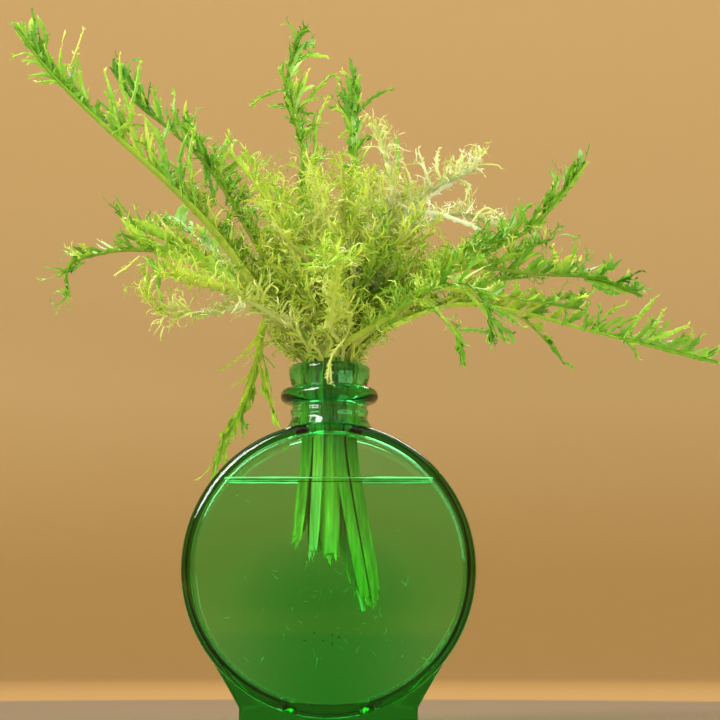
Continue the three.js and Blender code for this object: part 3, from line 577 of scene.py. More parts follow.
def meniscus_mesh():
    """What lies above the water: a block whose underside creeps up at the glass walls."""
    wall_x = math.sqrt(CAVITY_RADIUS**2 - (WATER_LEVEL_Z - CAVITY_CENTRE_Z) ** 2)
    wall_y = CAVITY_DEPTH / 2 + WALL_THINNER - FACE_CROWN * 0.6
    xs = wall_x * np.sin(np.linspace(-1, 1, 61) * math.pi / 2)
    ys = wall_y * np.sin(np.linspace(-1, 1, 41) * math.pi / 2)
    xs = np.concatenate([[-wall_x - AIR_MARGIN_X], xs, [wall_x + AIR_MARGIN_X]])
    ys = np.concatenate([[-wall_y - AIR_MARGIN_Y], ys, [wall_y + AIR_MARGIN_Y]])
    grid_x, grid_y = np.meshgrid(xs, ys, indexing="ij")
    apart = np.minimum(wall_x - abs(grid_x), wall_y - abs(grid_y)).clip(0)
    low = WATER_LEVEL_Z + MENISCUS_HEIGHT * np.exp(-apart / MENISCUS_REACH)
    nx, ny = grid_x.shape
    points = np.stack([grid_x, grid_y, low], -1).reshape(-1, 3)
    around = ((0, 0), (-1, 0), (-1, -1), (0, -1))
    lid = np.array([[xs[i], ys[j], AIR_TOP_Z] for i, j in around])
    faces = []
    for i in range(nx - 1):
        for j in range(ny - 1):
            a = i * ny + j
            faces.append([a, a + 1, a + ny + 1, a + ny])
    top = nx * ny
    edges = [
        [i * ny for i in range(nx)],
        [(nx - 1) * ny + j for j in range(ny)],
        [i * ny + ny - 1 for i in range(nx - 1, -1, -1)],
        list(range(ny - 1, -1, -1)),
    ]
    for k, edge in enumerate(edges):
        faces.append(edge + [top + (k + 1) % 4, top + k])
    faces.append([top, top + 1, top + 2, top + 3])
    return new_mesh("air", np.concatenate([points, lid]).tolist(), faces)


def build_water(material):
    """The water, a little larger than the hollow, so that no air shows between it and the glass."""
    water = hollow_object("water_body", WATER_OVERLAP, 120, material)
    joined(water, meniscus_mesh(), "DIFFERENCE")
    set_material(water, material)
    smooth_by_angle(water.data, 50)
    return piece(water, "water", "water")


def wall_depth(reach):
    """How far the hollow's face lies from the middle plane, at a distance from the disc's centre."""
    flat = CAVITY_RADIUS - CAVITY_ROUND
    depth = CAVITY_DEPTH / 2 + WALL_THINNER - FACE_CROWN * np.minimum(1, reach / flat) ** 2
    over = ((reach - flat) / CAVITY_ROUND).clip(0, 1)
    return depth - CAVITY_ROUND * (1 - np.sqrt(1 - over**2))


def line_mesh(line, heights, halves, closed):
    """Points and faces of a thin bar along a line of points, with a diamond section."""
    lead = np.roll(line, -1, 0) - np.roll(line, 1, 0) if closed else np.gradient(line, axis=0)
    lead = unit(lead)
    inward = np.stack([-lead[:, 1], lead[:, 0]], 1)
    rings = []
    for step_in, rise in ((-0.2, 0), (0.2, -1), (0.4, 0), (0.2, 1)):
        rings.append(np.column_stack([line + inward * step_in * MM, heights + rise * halves]))
    total = len(line)
    faces = []
    for k in range(total if closed else total - 1):
        low = k * 4
        high = (k + 1) % total * 4
        for j in range(4):
            faces.append([low + j, high + j, high + (j + 1) % 4, low + (j + 1) % 4])
    if not closed:
        faces += [[3, 2, 1, 0], [total * 4 - 4 + j for j in range(4)]]
    return np.stack(rings, 1).reshape(-1, 3), faces


def build_waterline(material):
    """A painted highlight along the rim of the water on the glass, with a painted shade line under it at
    the front.
    """
    reach = math.sqrt(CAVITY_RADIUS**2 - (WATERLINE_FRONT_Z - CAVITY_CENTRE_Z) ** 2) - WATERLINE_INSET
    across = reach * np.sin(np.linspace(-0.5, 0.5, 60) * math.pi)
    deep = wall_depth(np.hypot(across, WATERLINE_FRONT_Z - CAVITY_CENTRE_Z))
    front = np.stack([across, -deep], 1)
    back = np.stack([across[::-1], deep[::-1]], 1)
    rim = np.concatenate([front, back])
    heights = WATERLINE_FRONT_Z + (WATERLINE_BACK_Z - WATERLINE_FRONT_Z) * (rim[:, 1] > 0)
    at_stalks = np.exp(-(((rim[:, 0] / MM - STALKS_MIDDLE_X) / STALKS_REACH_X) ** 4)) * (rim[:, 1] < 0)
    points, faces = line_mesh(rim, heights, WATERLINE_HALF * (1 - 0.75 * at_stalks), True)
    # The painted shade line, under the front of the painted highlight.
    dark = front[4:-4]
    taper = (1 - (dark[:, 0] / dark[-1, 0]) ** 8).clip(0.15)
    painted_shade_heights = np.full(len(dark), WATERLINE_PAINTED_SHADE_Z)
    more, ends = line_mesh(dark, painted_shade_heights, WATERLINE_PAINTED_SHADE_HALF * taper, False)
    faces += [[corner + len(points) for corner in face] for face in ends]
    mesh = new_mesh("waterline", np.concatenate([points, more]).tolist(), faces)
    smooth(mesh)
    return piece(new_object("waterline", mesh, material), "water")


def waterline_material():
    """Painted light at the water's edge: a painted highlight above and painted shade below."""
    material, tree, output = material_tree("painted_waterline_light")
    place = add_node(tree, "ShaderNodeTexCoord").outputs["Object"]
    drift = noise_node(tree, place, 90.0, 2.0)
    # Painted highlight above the split height, painted shade below it.
    pale = ramp_node(tree, drift, [(0.3, (0.25, 0.36, 0.2)), (0.7, (0.62, 0.72, 0.5))])
    split = add_node(tree, "ShaderNodeSeparateXYZ")
    tree.links.new(place, split.inputs[0])
    step = {"From Min": WATERLINE_SPLIT_Z - 0.1 * MM, "From Max": WATERLINE_SPLIT_Z}
    above = add_node(tree, "ShaderNodeMapRange", step)
    tree.links.new(split.outputs["Z"], above.inputs["Value"])
    colour = mix_colours(tree, above.outputs[0], (0.01, 0.03, 0.01), pale)
    edge = add_node(tree, "ShaderNodeBsdfPrincipled", {"Roughness": 0.3})
    tree.links.new(colour, edge.inputs["Base Color"])
    tree.links.new(edge.outputs[0], output.inputs["Surface"])
    return material


# Specks on the glass: how many, their middle, spread and bounds in millimetres, and the dark ones low down
SPECKS = 70
SPECK_MIDDLE = (0.0, 44.0)
SPECK_SPREAD = (20.0, 19.0)
SPECK_ACROSS = (-38, 38)
SPECK_HEIGHTS = (26, 88)
SPECK_GAP = 0.25 * MM
DARK_SPECKS = 6
DARK_HEIGHT = 9


def build_specks(material):
    """Fine threads and dark crumbs on the inner face of the front glass, under water."""
    rng = np.random.default_rng(73)
    x = rng.normal(SPECK_MIDDLE[0], SPECK_SPREAD[0], SPECKS).clip(*SPECK_ACROSS) * MM
    z = rng.normal(SPECK_MIDDLE[1], SPECK_SPREAD[1], SPECKS).clip(*SPECK_HEIGHTS) * MM
    x[:DARK_SPECKS] *= 0.25
    z[:DARK_SPECKS] = SPECK_HEIGHTS[0] * MM + rng.uniform(0, DARK_HEIGHT, DARK_SPECKS) * MM
    inner_face = -wall_depth(np.hypot(x, z - CAVITY_CENTRE_Z)) + extra_glass(x, z)
    place = np.stack([x, inner_face + SPECK_GAP, z], 1)
    turn = rng.uniform(0, 2 * math.pi, SPECKS)
    lead = np.stack([np.cos(turn), np.zeros(SPECKS), np.sin(turn)], 1)
    dark = np.arange(SPECKS) < DARK_SPECKS
    length = np.where(dark, 1.2, rng.uniform(0.5, 4.0, SPECKS) ** 1.2) * MM
    curl = rng.normal(0, 1.2, SPECKS)
    face = np.tile([0.0, -1.0, 0.0], (SPECKS, 1))
    blades = grow_blades(place, lead, face, length, 5, 0 * curl, curl, 0 * curl)
    width = np.where(dark, 0.3, rng.uniform(0.04, 0.11, SPECKS))[:, None]
    width = width * MM * (1.1 - blades.share)
    mesh = LeafMesh()
    shade = np.where(dark, 0.05, 0.75)[:, None]
    mesh.add(blades, width, width, 0.05 * MM, np.where(dark, 0.9, 0.12)[:, None], shade=shade, sides=3)
    return piece(new_object("glass_specks", mesh.make("specks"), material), "water")


# Leaves: many curled blades at once, each a thin closed strip


def unit(vectors):
    return vectors / np.linalg.norm(vectors, axis=-1, keepdims=True).clip(1e-12)


def turned(vectors, axes, angles):
    """Rows of vectors turned about rows of axes."""
    cosine = np.cos(angles)[:, None]
    sine = np.sin(angles)[:, None]
    along = (axes * vectors).sum(1, keepdims=True)
    return vectors * cosine + np.cross(axes, vectors) * sine + axes * along * (1 - cosine)


class Blades:
    """Middle lines of many blades with a forward, side and upper direction at each station."""

    def __init__(self, centre, forward, side, upper):
        self.centre = centre
        self.forward = forward
        self.side = side
        self.upper = upper
        self.count, self.stations = centre.shape[:2]
        self.share = np.linspace(0, 1, self.stations)[None]

    def at(self, rows, columns):
        return (part[rows, columns] for part in (self.centre, self.forward, self.side, self.upper))


def grow_blades(origin, forward, upper, length, stations, curl, sway, twist, late=1.0):
    """Blades that start at origin and curl over, sway aside and twist by these total angles."""
    forward = unit(forward)
    side = unit(np.cross(forward, upper))
    upper = np.cross(side, forward)
    weights = (np.arange(stations - 1) + 0.5) ** late
    weights /= weights.sum()
    step = (length / (stations - 1))[:, None]
    place = origin.copy()
    kept = [[place, forward, side, upper]]
    for weight in weights:
        forward = turned(forward, side, curl * weight)
        upper = turned(upper, side, curl * weight)
        forward = turned(forward, upper, sway * weight)
        side = turned(side, upper, sway * weight)
        side = turned(side, forward, twist * weight)
        upper = turned(upper, forward, twist * weight)
        place = place + forward * step
        kept.append([place, forward, side, upper])
    return Blades(*(np.stack(column, 1) for column in zip(*kept)))


# Strips have sharp edges above this angle, so that they look flat and not like tubes
BLADE_EDGE_ANGLE = math.radians(75)


class LeafMesh:
    """Collects closed strips as one mesh, with a tone and a shade for each point."""

    def __init__(self):
        self.points = []
        self.tones = []
        self.shades = []
        self.quads = []
        self.caps = {3: [], 4: []}
        self.total = 0

    def add(
        self, blades, left, right, thick, tone,
        fold=0.0, fold_right=None, ahead=0.0, shade=1.0, sides=4,
    ):
        """A strip for each blade. Its section is a flat diamond, or a flat triangle for three sides.

        The edges lie left and right of the middle line, raised by fold and moved on by ahead.
        """
        shape = (blades.count, blades.stations)
        fold_right = fold if fold_right is None else fold_right
        left, right, thick, tone, fold, fold_right, ahead, shade = (
            np.broadcast_to(np.asarray(values, float), shape)[..., None]
            for values in (left, right, thick, tone, fold, fold_right, ahead, shade)
        )
        corners = [
            blades.centre - blades.side * left + blades.upper * fold + blades.forward * ahead,
            blades.centre + blades.upper * thick,
            blades.centre + blades.side * right + blades.upper * fold_right + blades.forward * ahead,
            blades.centre - blades.upper * thick,
        ][:sides]
        self.points.append(np.stack(corners, 2).reshape(-1, 3))
        self.tones.append(np.repeat(tone[..., 0].reshape(-1), sides))
        self.shades.append(np.repeat(shade[..., 0].reshape(-1), sides))
        n = blades.stations
        k, j = np.meshgrid(np.arange(n - 1), np.arange(sides), indexing="ij")
        a = (sides * k + j).ravel()
        b = (sides * k + (j + 1) % sides).ravel()
        quads = np.stack([a, b, b + sides, a + sides], 1)
        first = np.arange(sides)
        caps = np.stack([first[::-1], first + sides * (n - 1)])
        starts = self.total + np.arange(blades.count)[:, None, None] * sides * n
        self.quads.append((starts + quads[None]).reshape(-1, 4))
        self.caps[sides].append((starts + caps[None]).reshape(-1, sides))
        self.total += blades.count * sides * n

    def make(self, name):
        points = np.concatenate(self.points)
        tones = np.concatenate(self.tones)
        quads = np.concatenate(self.quads + self.caps[4])
        triangles = np.concatenate([np.zeros((0, 3), int)] + self.caps[3])
        corners = np.concatenate([quads.ravel(), triangles.ravel()])
        starts = np.concatenate(
            [np.arange(len(quads)) * 4, quads.size + np.arange(len(triangles)) * 3]
        )
        mesh = bpy.data.meshes.new(name)
        mesh.vertices.add(len(points))
        mesh.vertices.foreach_set("co", points.astype(np.float32).ravel())
        mesh.loops.add(len(corners))
        mesh.loops.foreach_set("vertex_index", corners.astype(np.int32))
        mesh.polygons.add(len(starts))
        mesh.polygons.foreach_set("loop_start", starts.astype(np.int32))
        mesh.polygons.foreach_set("use_smooth", np.ones(len(starts), bool))
        mesh.update(calc_edges=True)
        mesh.set_sharp_from_angle(angle=BLADE_EDGE_ANGLE)
        colour = np.ones((len(points), 4), np.float32)
        colour[:, 0] = tones.clip(0, 1)
        colour[:, 1] = np.concatenate(self.shades)
        attribute = mesh.attributes.new("tone", "FLOAT_COLOR", "POINT")
        attribute.data.foreach_set("color", colour.ravel())
        return mesh


def seen_point(across, depth, height):
    """The point at a depth that the eye sees at (across, height) in the picture plane, in metres."""
    forward = unit(AIM - EYE)
    up = np.cross([1, 0, 0], forward)
    ray = AIM - EYE + np.array([across * MM - AIM[0], 0, 0]) + up * (height * MM - AIM[2])
    return EYE + ray * (depth * MM - EYE[1]) / ray[1]


def smooth_curve(points, spacing):
    """Points every spacing along a centripetal Catmull-Rom curve through the given points."""
    points = np.asarray(points, float)
    padded = np.concatenate([[2 * points[0] - points[1]], points, [2 * points[-1] - points[-2]]])
    dense = []
    for i in range(len(points) - 1):
        p0, p1, p2, p3 = padded[i : i + 4]
        d0, d1, d2 = (np.linalg.norm(b - a) ** 0.5 for a, b in ((p0, p1), (p1, p2), (p2, p3)))
        m1 = (p1 - p0) / d0 - (p2 - p0) / (d0 + d1) + (p2 - p1) / d1
        m2 = (p2 - p1) / d1 - (p3 - p1) / (d1 + d2) + (p3 - p2) / d2
        m1, m2 = m1 * d1, m2 * d1
        t = np.linspace(0, 1, 60, endpoint=False)[:, None]
        curve = (2 * t**3 - 3 * t**2 + 1) * p1 + (t**3 - 2 * t**2 + t) * m1
        dense.append(curve + (-2 * t**3 + 3 * t**2) * p2 + (t**3 - t**2) * m2)
    dense = np.concatenate(dense + [points[-1:]])
    run = np.concatenate([[0], np.cumsum(np.linalg.norm(np.diff(dense, axis=0), axis=1))])
    count = max(4, int(round(run[-1] / spacing)) + 1)
    at = np.linspace(0, run[-1], count)
    return np.stack([np.interp(at, run, dense[:, k]) for k in range(3)], 1), at


def rib_blades(places, lead_from):
    """A rib's own line as one blade whose side is level and square to where the rib leads."""
    forward = unit(np.gradient(places, axis=0))
    lead = places[-1] - places[lead_from]
    level = unit(np.cross([lead[0], lead[1], 0], [0, 0, 1]))
    side = unit(level - forward * (forward @ level)[:, None])
    upper = np.cross(side, forward)
    return Blades(places[None], forward[None], side[None], upper[None])


def along_rib(rib, at):
    """Place, forward, side and upper direction of a rib at fractional station numbers."""
    index = np.arange(rib.stations)
    parts = []
    for values in (rib.centre, rib.forward, rib.side, rib.upper):
        parts.append(np.stack([np.interp(at, index, values[0, :, k]) for k in range(3)], 1))
    return parts[0], unit(parts[1]), unit(parts[2]), unit(parts[3])


# How an edge grows: lobes from the rib, branches from the lobes and hairs from both.
# Widths are half widths in millimetres, turns are in radians, and counts are for each parent.
FRIZZ = {
    "spread": 0.95, "sweep": (0.35, 1.15), "fray": 1.3, "cluster": 0.3, "pale": 0.1,
    "lobe": {"stations": 7, "width": 0.48, "thick": 0.18, "curl": 1.3, "sway": 1.0, "twist": 1.2},
    "branch": {
        "count": 4.2, "share": (0.35, 0.85), "lean": (0.35, 1.1), "rise": 0.45,
        "stations": 5, "width": 0.25, "thick": 0.13, "curl": 1.9, "sway": 1.3, "twist": 0.8,
    },
    "hair": {
        "count": 0.7, "length": (1.4, 3.6), "lean": (0.4, 1.2), "rise": 0.6,
        "stations": 3, "width": 0.2, "thick": 0.11, "curl": 1.1, "sway": 0.9, "twist": 0.3,
    },
}
FINGER = {
    "spread": 0.5, "sweep": (0.75, 1.25), "fray": 1.35, "cluster": 0.65, "pale": 0.2,
    "lobe": {"stations": 9, "width": 0.95, "thick": 0.22, "curl": 0.35, "sway": 0.4, "twist": 0.5},
    "branch": {
        "count": 1.3, "share": (0.3, 0.6), "lean": (0.3, 0.65), "rise": 0.15,
        "stations": 6, "width": 0.6, "thick": 0.18, "curl": 0.4, "sway": 0.45, "twist": 0.4,
    },
    "hair": {
        "count": 2.2, "length": (0.9, 2.4), "lean": (0.45, 0.95), "rise": 0.15,
        "stations": 3, "width": 0.36, "thick": 0.15, "curl": 0.3, "sway": 0.3, "twist": 0.2,
    },
}


def sprout(mesh, rng, rows, kind, fray, pale=0.0, sides=3):
    """Blades of one kind at rows of place, lead, face, length, width scale and tone.

    Fray is how ragged the edges are, and pale the share of blades with a pale end.
    """
    place, lead, face, length, scale, tone = rows
    count = len(length)
    hand = np.where(rng.random(count) < 0.5, 1.0, -1.0)
    curl = kind["curl"] * rng.choice([-0.6, 1.0], count) * rng.uniform(0.3, 1.5, count)
    sway = kind["sway"] * hand * rng.uniform(-0.3, 1.4, count)
    twist = kind["twist"] * rng.normal(0, 1, count)
    blades = grow_blades(place, lead, face, length, kind["stations"], curl, sway, twist, 1.1)
    share = blades.share
    outline = (0.65 + 0.6 * share) * (1.0 - share**2.5).clip(0) ** 0.6 + 0.06
    width = kind["width"] * MM * scale[:, None] * outline
    ragged = rng.uniform(2 - fray, fray, (2, count, kind["stations"]))
    ends = 0.4 * (rng.random((count, 1)) < pale) * share**3
    tones = tone[:, None] * (1 - ends)
    thick = kind["thick"] * MM * (1.1 - 0.75 * share)
    mesh.add(blades, width * ragged[0], width * ragged[1], thick, tones, fold=width * 0.3, sides=sides)
    return blades, width, tones


def shoots_of(rng, parent, kind, length=None):
    """Rows for shoots on the edges of a parent's blades."""
    blades, width, tones = parent
    rows = np.repeat(np.arange(blades.count), rng.poisson(kind["count"], blades.count))
    columns = rng.integers(1, blades.stations, len(rows))
    hand = np.where(rng.random(len(rows)) < 0.5, 1.0, -1.0)[:, None]
    centre, forward, side, upper = blades.at(rows, columns)
    lean = rng.uniform(*kind["lean"], len(rows))[:, None]
    rise = rng.normal(0, kind["rise"], len(rows))[:, None]
    place = centre + side * hand * width[rows, columns][:, None] * 0.5
    lead = side * hand * np.sin(lean) + forward * np.cos(lean) + upper * rise
    if length is None:
        reach = rng.uniform(*kind["length"], len(rows)) * MM
    else:
        reach = length[rows] * rng.uniform(*kind["share"], len(rows))
        reach *= 1.1 - 0.5 * columns / blades.stations
    tone = tones[rows, columns] + rng.normal(0, 0.05, len(rows))
    scale = rng.uniform(0.75, 1.3, len(rows))
    return [place, lead, upper, reach, scale, tone]


def add_lobes(mesh, rng, base, style, lift, up, scale=1.0):
    """Lobes with branches and hairs, at rows of place, forward, side, upper, length and tone."""
    place, forward, side, upper, length, tone = base
    count = len(length)
    sign = np.where(rng.random(count) < 0.5, 1.0, -1.0)
    tilt = lift + style["spread"] * rng.uniform(-1, 1, count)
    out = side * (sign * np.cos(tilt))[:, None] + upper * np.sin(tilt)[:, None]
    face = upper * np.cos(tilt)[:, None] - side * (sign * np.sin(tilt))[:, None]
    sweep = rng.uniform(*style["sweep"], count)
    lead = out * np.cos(sweep)[:, None] + forward * np.sin(sweep)[:, None] + np.array([0, 0, up])
    fray = style["fray"]
    rows = [place, lead, face, length, scale * rng.uniform(0.75, 1.3, count), tone]
    pale = style["pale"]
    lobes = sprout(mesh, rng, rows, style["lobe"], fray, pale)
    rows = shoots_of(rng, lobes, style["branch"], length)
    branches = sprout(mesh, rng, rows, style["branch"], fray, pale)
    for parent in (lobes, branches):
        sprout(mesh, rng, shoots_of(rng, parent, style["hair"]), style["hair"], 1.2)


def ruffle(rng, at, wave):
    """A wavy height along a rib, from three waves about as long as this in metres."""
    total = 0
    for factor in (1.0, 0.62, 0.41):
        start = rng.uniform(0, 2 * math.pi)
        total = total + factor * np.sin(at * 2 * math.pi / (wave * factor) + start)
    return total / 2


def add_lamina(mesh, rng, rib, at, width, tone, lift, waves=2.0):
    """The thin ruffled blade along both sides of a rib, turned up by lift, with a ragged edge."""
    for hand in (-1.0, 1.0):
        ragged = width * rng.uniform(0.4, 1.25, len(at))
        out = rib.side * (hand * math.cos(lift)) + rib.upper * math.sin(lift)
        face = rib.upper * math.cos(lift) - rib.side * (hand * math.sin(lift))
        rise = waves * MM * ruffle(rng, at, 8 * MM) * np.minimum(1, width / (3 * MM))
        sway = ragged * 0.35 * ruffle(rng, at, 6 * MM)
        centre = rib.centre + out * (ragged * 0.5)[None, :, None] + face * (rise * 0.5)[None, :, None]
        half = Blades(centre, rib.forward, out, face)
        mesh.add(
            half, (ragged * 0.55)[None], (ragged * 0.5)[None], LAMINA_THICK * MM,
            (tone + rng.normal(0, 0.04, len(at)))[None],
            fold=-0.5 * rise[None], fold_right=0.5 * rise[None], ahead=sway[None],
        )


def rib_of(path, lobe, lift=0.5, **more):
    """A rib: its path, its lobes' length in millimetres, how far they fold up, and what isn't as usual.

    frizz is the share of the blade that is curly, up how far lobes turn to the sky, tip the half width
    of the blade's end, and bare the blade's width beside the rib past the frizz. Thick, pitch, finger
    and wide are the rib's thickness, the space between lobes, and the length and width of the fingers,
    all beside a usual one, and blade is the width of the ruffled blade in the frizz.
    """
    return {
        "path": path, "lobe": lobe, "lift": lift, "frizz": 0.5, "up": 0.25, "tip": 1.3,
        "thick": 1.0, "pitch": 1.0, "finger": 1.0, "bare": 0.35, "wide": 1.0, "blade": 3.2,
    } | more


# Name, ring, slot and foot of the stalk, tones at the base and at the tip, and the ribs.
# A rib's path has points of across, depth and height in the picture plane.
LEAVES = [
    ("leaf_left_long", "outer", 180, (-13, 0, 73), (0.42, 0.7), [
        rib_of([
            (-27, -3, 170), (-46, -5, 195), (-62, -7, 212),
            (-94, -10, 241), (-112, -12, 259), (-126, -12, 277),
        ], 14, 1.0, frizz=0.5, up=0.35, tip=2.8, thick=1.9, pitch=0.75, bare=0.6),
    ]),
    ("leaf_right_long", "outer", 30, (17, 4, 47), (0.4, 0.68), [
        rib_of([
            (31, 11, 160), (52, 13, 166), (76, 13, 163),
            (106, 12, 155), (133, 10, 148), (155.5, 10, 142.5),
        ], 10.5, 1.0, frizz=0.36, up=0.5, tip=1.9, thick=1.2),
        rib_of([(44, 12, 164.5), (62, 8, 174), (80, 6, 177)], 9, 0.6, frizz=1, blade=4),
        rib_of([(78, 12.8, 162.6), (90, 8, 168), (101, 6, 168)], 7.5, 0.6, frizz=1),
        rib_of([(58, 13, 166.2), (76, 18, 161), (86, 20, 152), (94, 20, 142)], 6, 0.4, frizz=0.1, up=0.3),
    ]),
    ("leaf_right_middle", "outer", 330, (18, -4, 48), (0.4, 0.7), [
        rib_of(
            [(30, -10, 166), (52, -14, 180), (83, -16, 178), (108, -17, 176), (125, -17, 169)],
            11, 0.7, frizz=0.5, up=0.45, tip=2.6, thick=1.2, pitch=0.8, blade=4,
        ),
        rib_of(
            [(40, -12, 173.6), (62, -24, 170), (82, -27, 167), (99, -27, 164)],
            8, 0.8, frizz=0.3, up=0.3,
        ),
        rib_of([(36, -11, 171), (52, -12, 186), (70, -14, 192)], 10, 0.6, frizz=1, blade=4),
        rib_of([(60, -14.4, 179.2), (74, -10, 186), (89, -6, 192)], 9, 0.6, frizz=1, blade=3.5),
    ]),
    ("leaf_right_high", "outer", 0, (18.6, 0, 52), (0.45, 0.7), [
        rib_of(
            [(31, -1, 168), (58, 0, 184), (80, 2, 196), (92, 3, 209), (102.5, 3, 223)],
            12, 0.6, frizz=0.58, up=0.35, tip=2.3, thick=1.2, pitch=0.75, blade=4,
        ),
    ]),
    ("leaf_left_low", "outer", 210, (-12, -6.5, 71), (0.36, 0.62), [
        rib_of([
            (-31, -13, 166), (-52, -18, 183), (-74, -20, 187.5),
            (-92, -21, 186), (-104, -21, 181), (-104, -22, 169),
        ], 11, 0.5, frizz=0.6, up=0.3, tip=1.7, blade=7),
        rib_of(
            [(-42, -15.8, 177), (-60, -12, 190), (-76, -10, 196), (-86, -10, 203)],
            10, 0.5, frizz=0.8, blade=6,
        ),
    ]),
    ("leaf_left_front", "outer", 240, (-6.6, -9, 67), (0.14, 0.42), [
        rib_of(
            [(-20, -17, 160), (-42, -31, 171), (-58, -38, 175), (-68, -39, 179)],
            12, 0.3, frizz=1, thick=0.95, blade=5,
        ),
        rib_of(
            [(-34, -31, 165.8), (-52, -33, 162), (-66, -34, 163), (-75, -33, 173)],
            11, -0.1, frizz=1, thick=0.8, blade=5,
        ),
    ]),
    ("leaf_left_drooping", "outer", 120, (-6.6, 8, 70), (0.42, 0.5), [
        rib_of([
            (-7.5, 14.5, 160), (-16, 28, 168), (-26, 42, 157),
            (-28.5, 47, 143), (-34, 51, 126), (-42, 54, 113), (-45, 56, 102),
        ], 13, -0.3, frizz=0.25, up=-0.7, tip=2.6, thick=1.6, pitch=1.8, finger=1.5),
        rib_of(
            [(-28.6, 47.2, 142.4), (-25.8, 50, 134), (-24, 51, 127), (-20.5, 52, 117)],
            8, -0.3, frizz=0, up=-0.7, tip=1.6, thick=1.3, pitch=1.8, wide=1.7,
        ),
    ]),
    ("leaf_left_back", "outer", 150, (-12, 6, 75), (0.42, 0.72), [
        rib_of([(-28, 20, 168), (-46, 36, 186), (-58, 52, 196), (-66, 66, 198), (-72, 78, 194)], 12, 0.5),
    ]),
    ("leaf_back", "outer", 90, (0.5, 9.5, 68), (0.38, 0.66), [
        rib_of([(0, 32, 165), (2, 56, 182), (4, 78, 188), (3, 98, 181)], 12, 0.5, frizz=0.7),
    ]),
    ("leaf_right_back", "outer", 60, (15, 7.5, 50), (0.42, 0.72), [
        rib_of([(24, 30, 164), (40, 52, 179), (54, 70, 184), (66, 88, 178)], 12, 0.5),
    ]),
    ("leaf_right_front", "outer", 300, (14.6, -7.5, 49), (0.45, 0.74), [
        rib_of(
            [(26, -24, 162), (42, -36, 172), (55, -42, 174), (63, -45, 164), (64, -46, 151)],
            11, 0.4, frizz=0.6,
        ),
        rib_of(
            [(34.4, -31, 168.5), (44, -42, 162), (51, -46, 153), (53, -47, 142)],
            7, 0.2, frizz=0.3, up=-0.2,
        ),
    ]),
    ("leaf_front", "outer", 270, (0.5, -9.5, 66), (0.3, 0.5), [
        rib_of(
            [(1, -30, 164), (3, -50, 178), (2, -68, 184), (-2, -84, 180)],
            12, 0.4, frizz=1, thick=0.5,
        ),
    ]),
    ("leaf_left_upright", "inner", 180, (-6, 0, 74), (0.42, 0.74), [
        rib_of([
            (-17, 3, 168), (-33, 6, 196), (-48, 7, 220),
            (-63, 8, 235), (-78, 9, 247), (-88, 8, 261),
        ], 14, 0.9, frizz=0.6, up=0.45, tip=1.5, pitch=0.75),
    ]),
    ("leaf_top_left", "inner", 120, (-2.7, 4.3, 71), (0.4, 0.68), [
        rib_of([
            (-9, 15, 172), (-12, 21, 200), (-10, 26, 226),
            (-15, 28, 243), (-17, 29, 254), (-11.4, 30, 275),
        ], 12, 0.5, frizz=0.7, up=0.3, tip=1.4),
    ]),
    ("leaf_top", "inner", 60, (11, 3.4, 55), (0.42, 0.7), [
        rib_of(
            [(9, 16, 172), (11, 26, 200), (9.5, 33, 224), (9, 36, 242), (10.2, 38, 258)],
            11, 0.5, frizz=0.6, up=0.3, tip=2.4,
        ),
    ]),
    ("leaf_cream_right", "inner", 0, (13.8, 0, 53), (0.05, 0.14), [
        rib_of(
            [(17, 1, 170), (25, 2, 192), (36, 2, 208), (48, 1, 215), (59, 0, 220)],
            12, 0.6, frizz=1, tip=2.2, thick=1.3,
        ),
        rib_of([(24, 2, 190.5), (40, 14, 199), (54, 18, 202), (66, 20, 197)], 9, 0.6, frizz=1, thick=1.5),
    ]),
    ("leaf_front_right", "inner", 300, (11, -3.4, 54), (0.12, 0.22), [
        rib_of(
            [(9, -8, 172), (20, -8, 193), (26, -12, 212), (20, -16, 236)],
            12, 0.5, frizz=1, thick=0.7,
        ),
    ]),
    ("leaf_front_left", "inner", 240, (-2.7, -4.3, 69), (0.34, 0.5), [
        rib_of(
            [(-9, -15, 172), (-18, -26, 194), (-28, -32, 212), (-41, -34, 228)],
            13, 0.5, frizz=0.9, thick=0.6,
        ),
    ]),
]

SLOTS = {
    "leaf_left_low": "leaf_lime", "leaf_back": "leaf_lime", "leaf_front": "leaf_lime",
    "leaf_front_left": "leaf_lime", "leaf_left_front": "leaf_cream", "leaf_cream_right": "leaf_cream",
    "leaf_front_right": "leaf_cream",
}


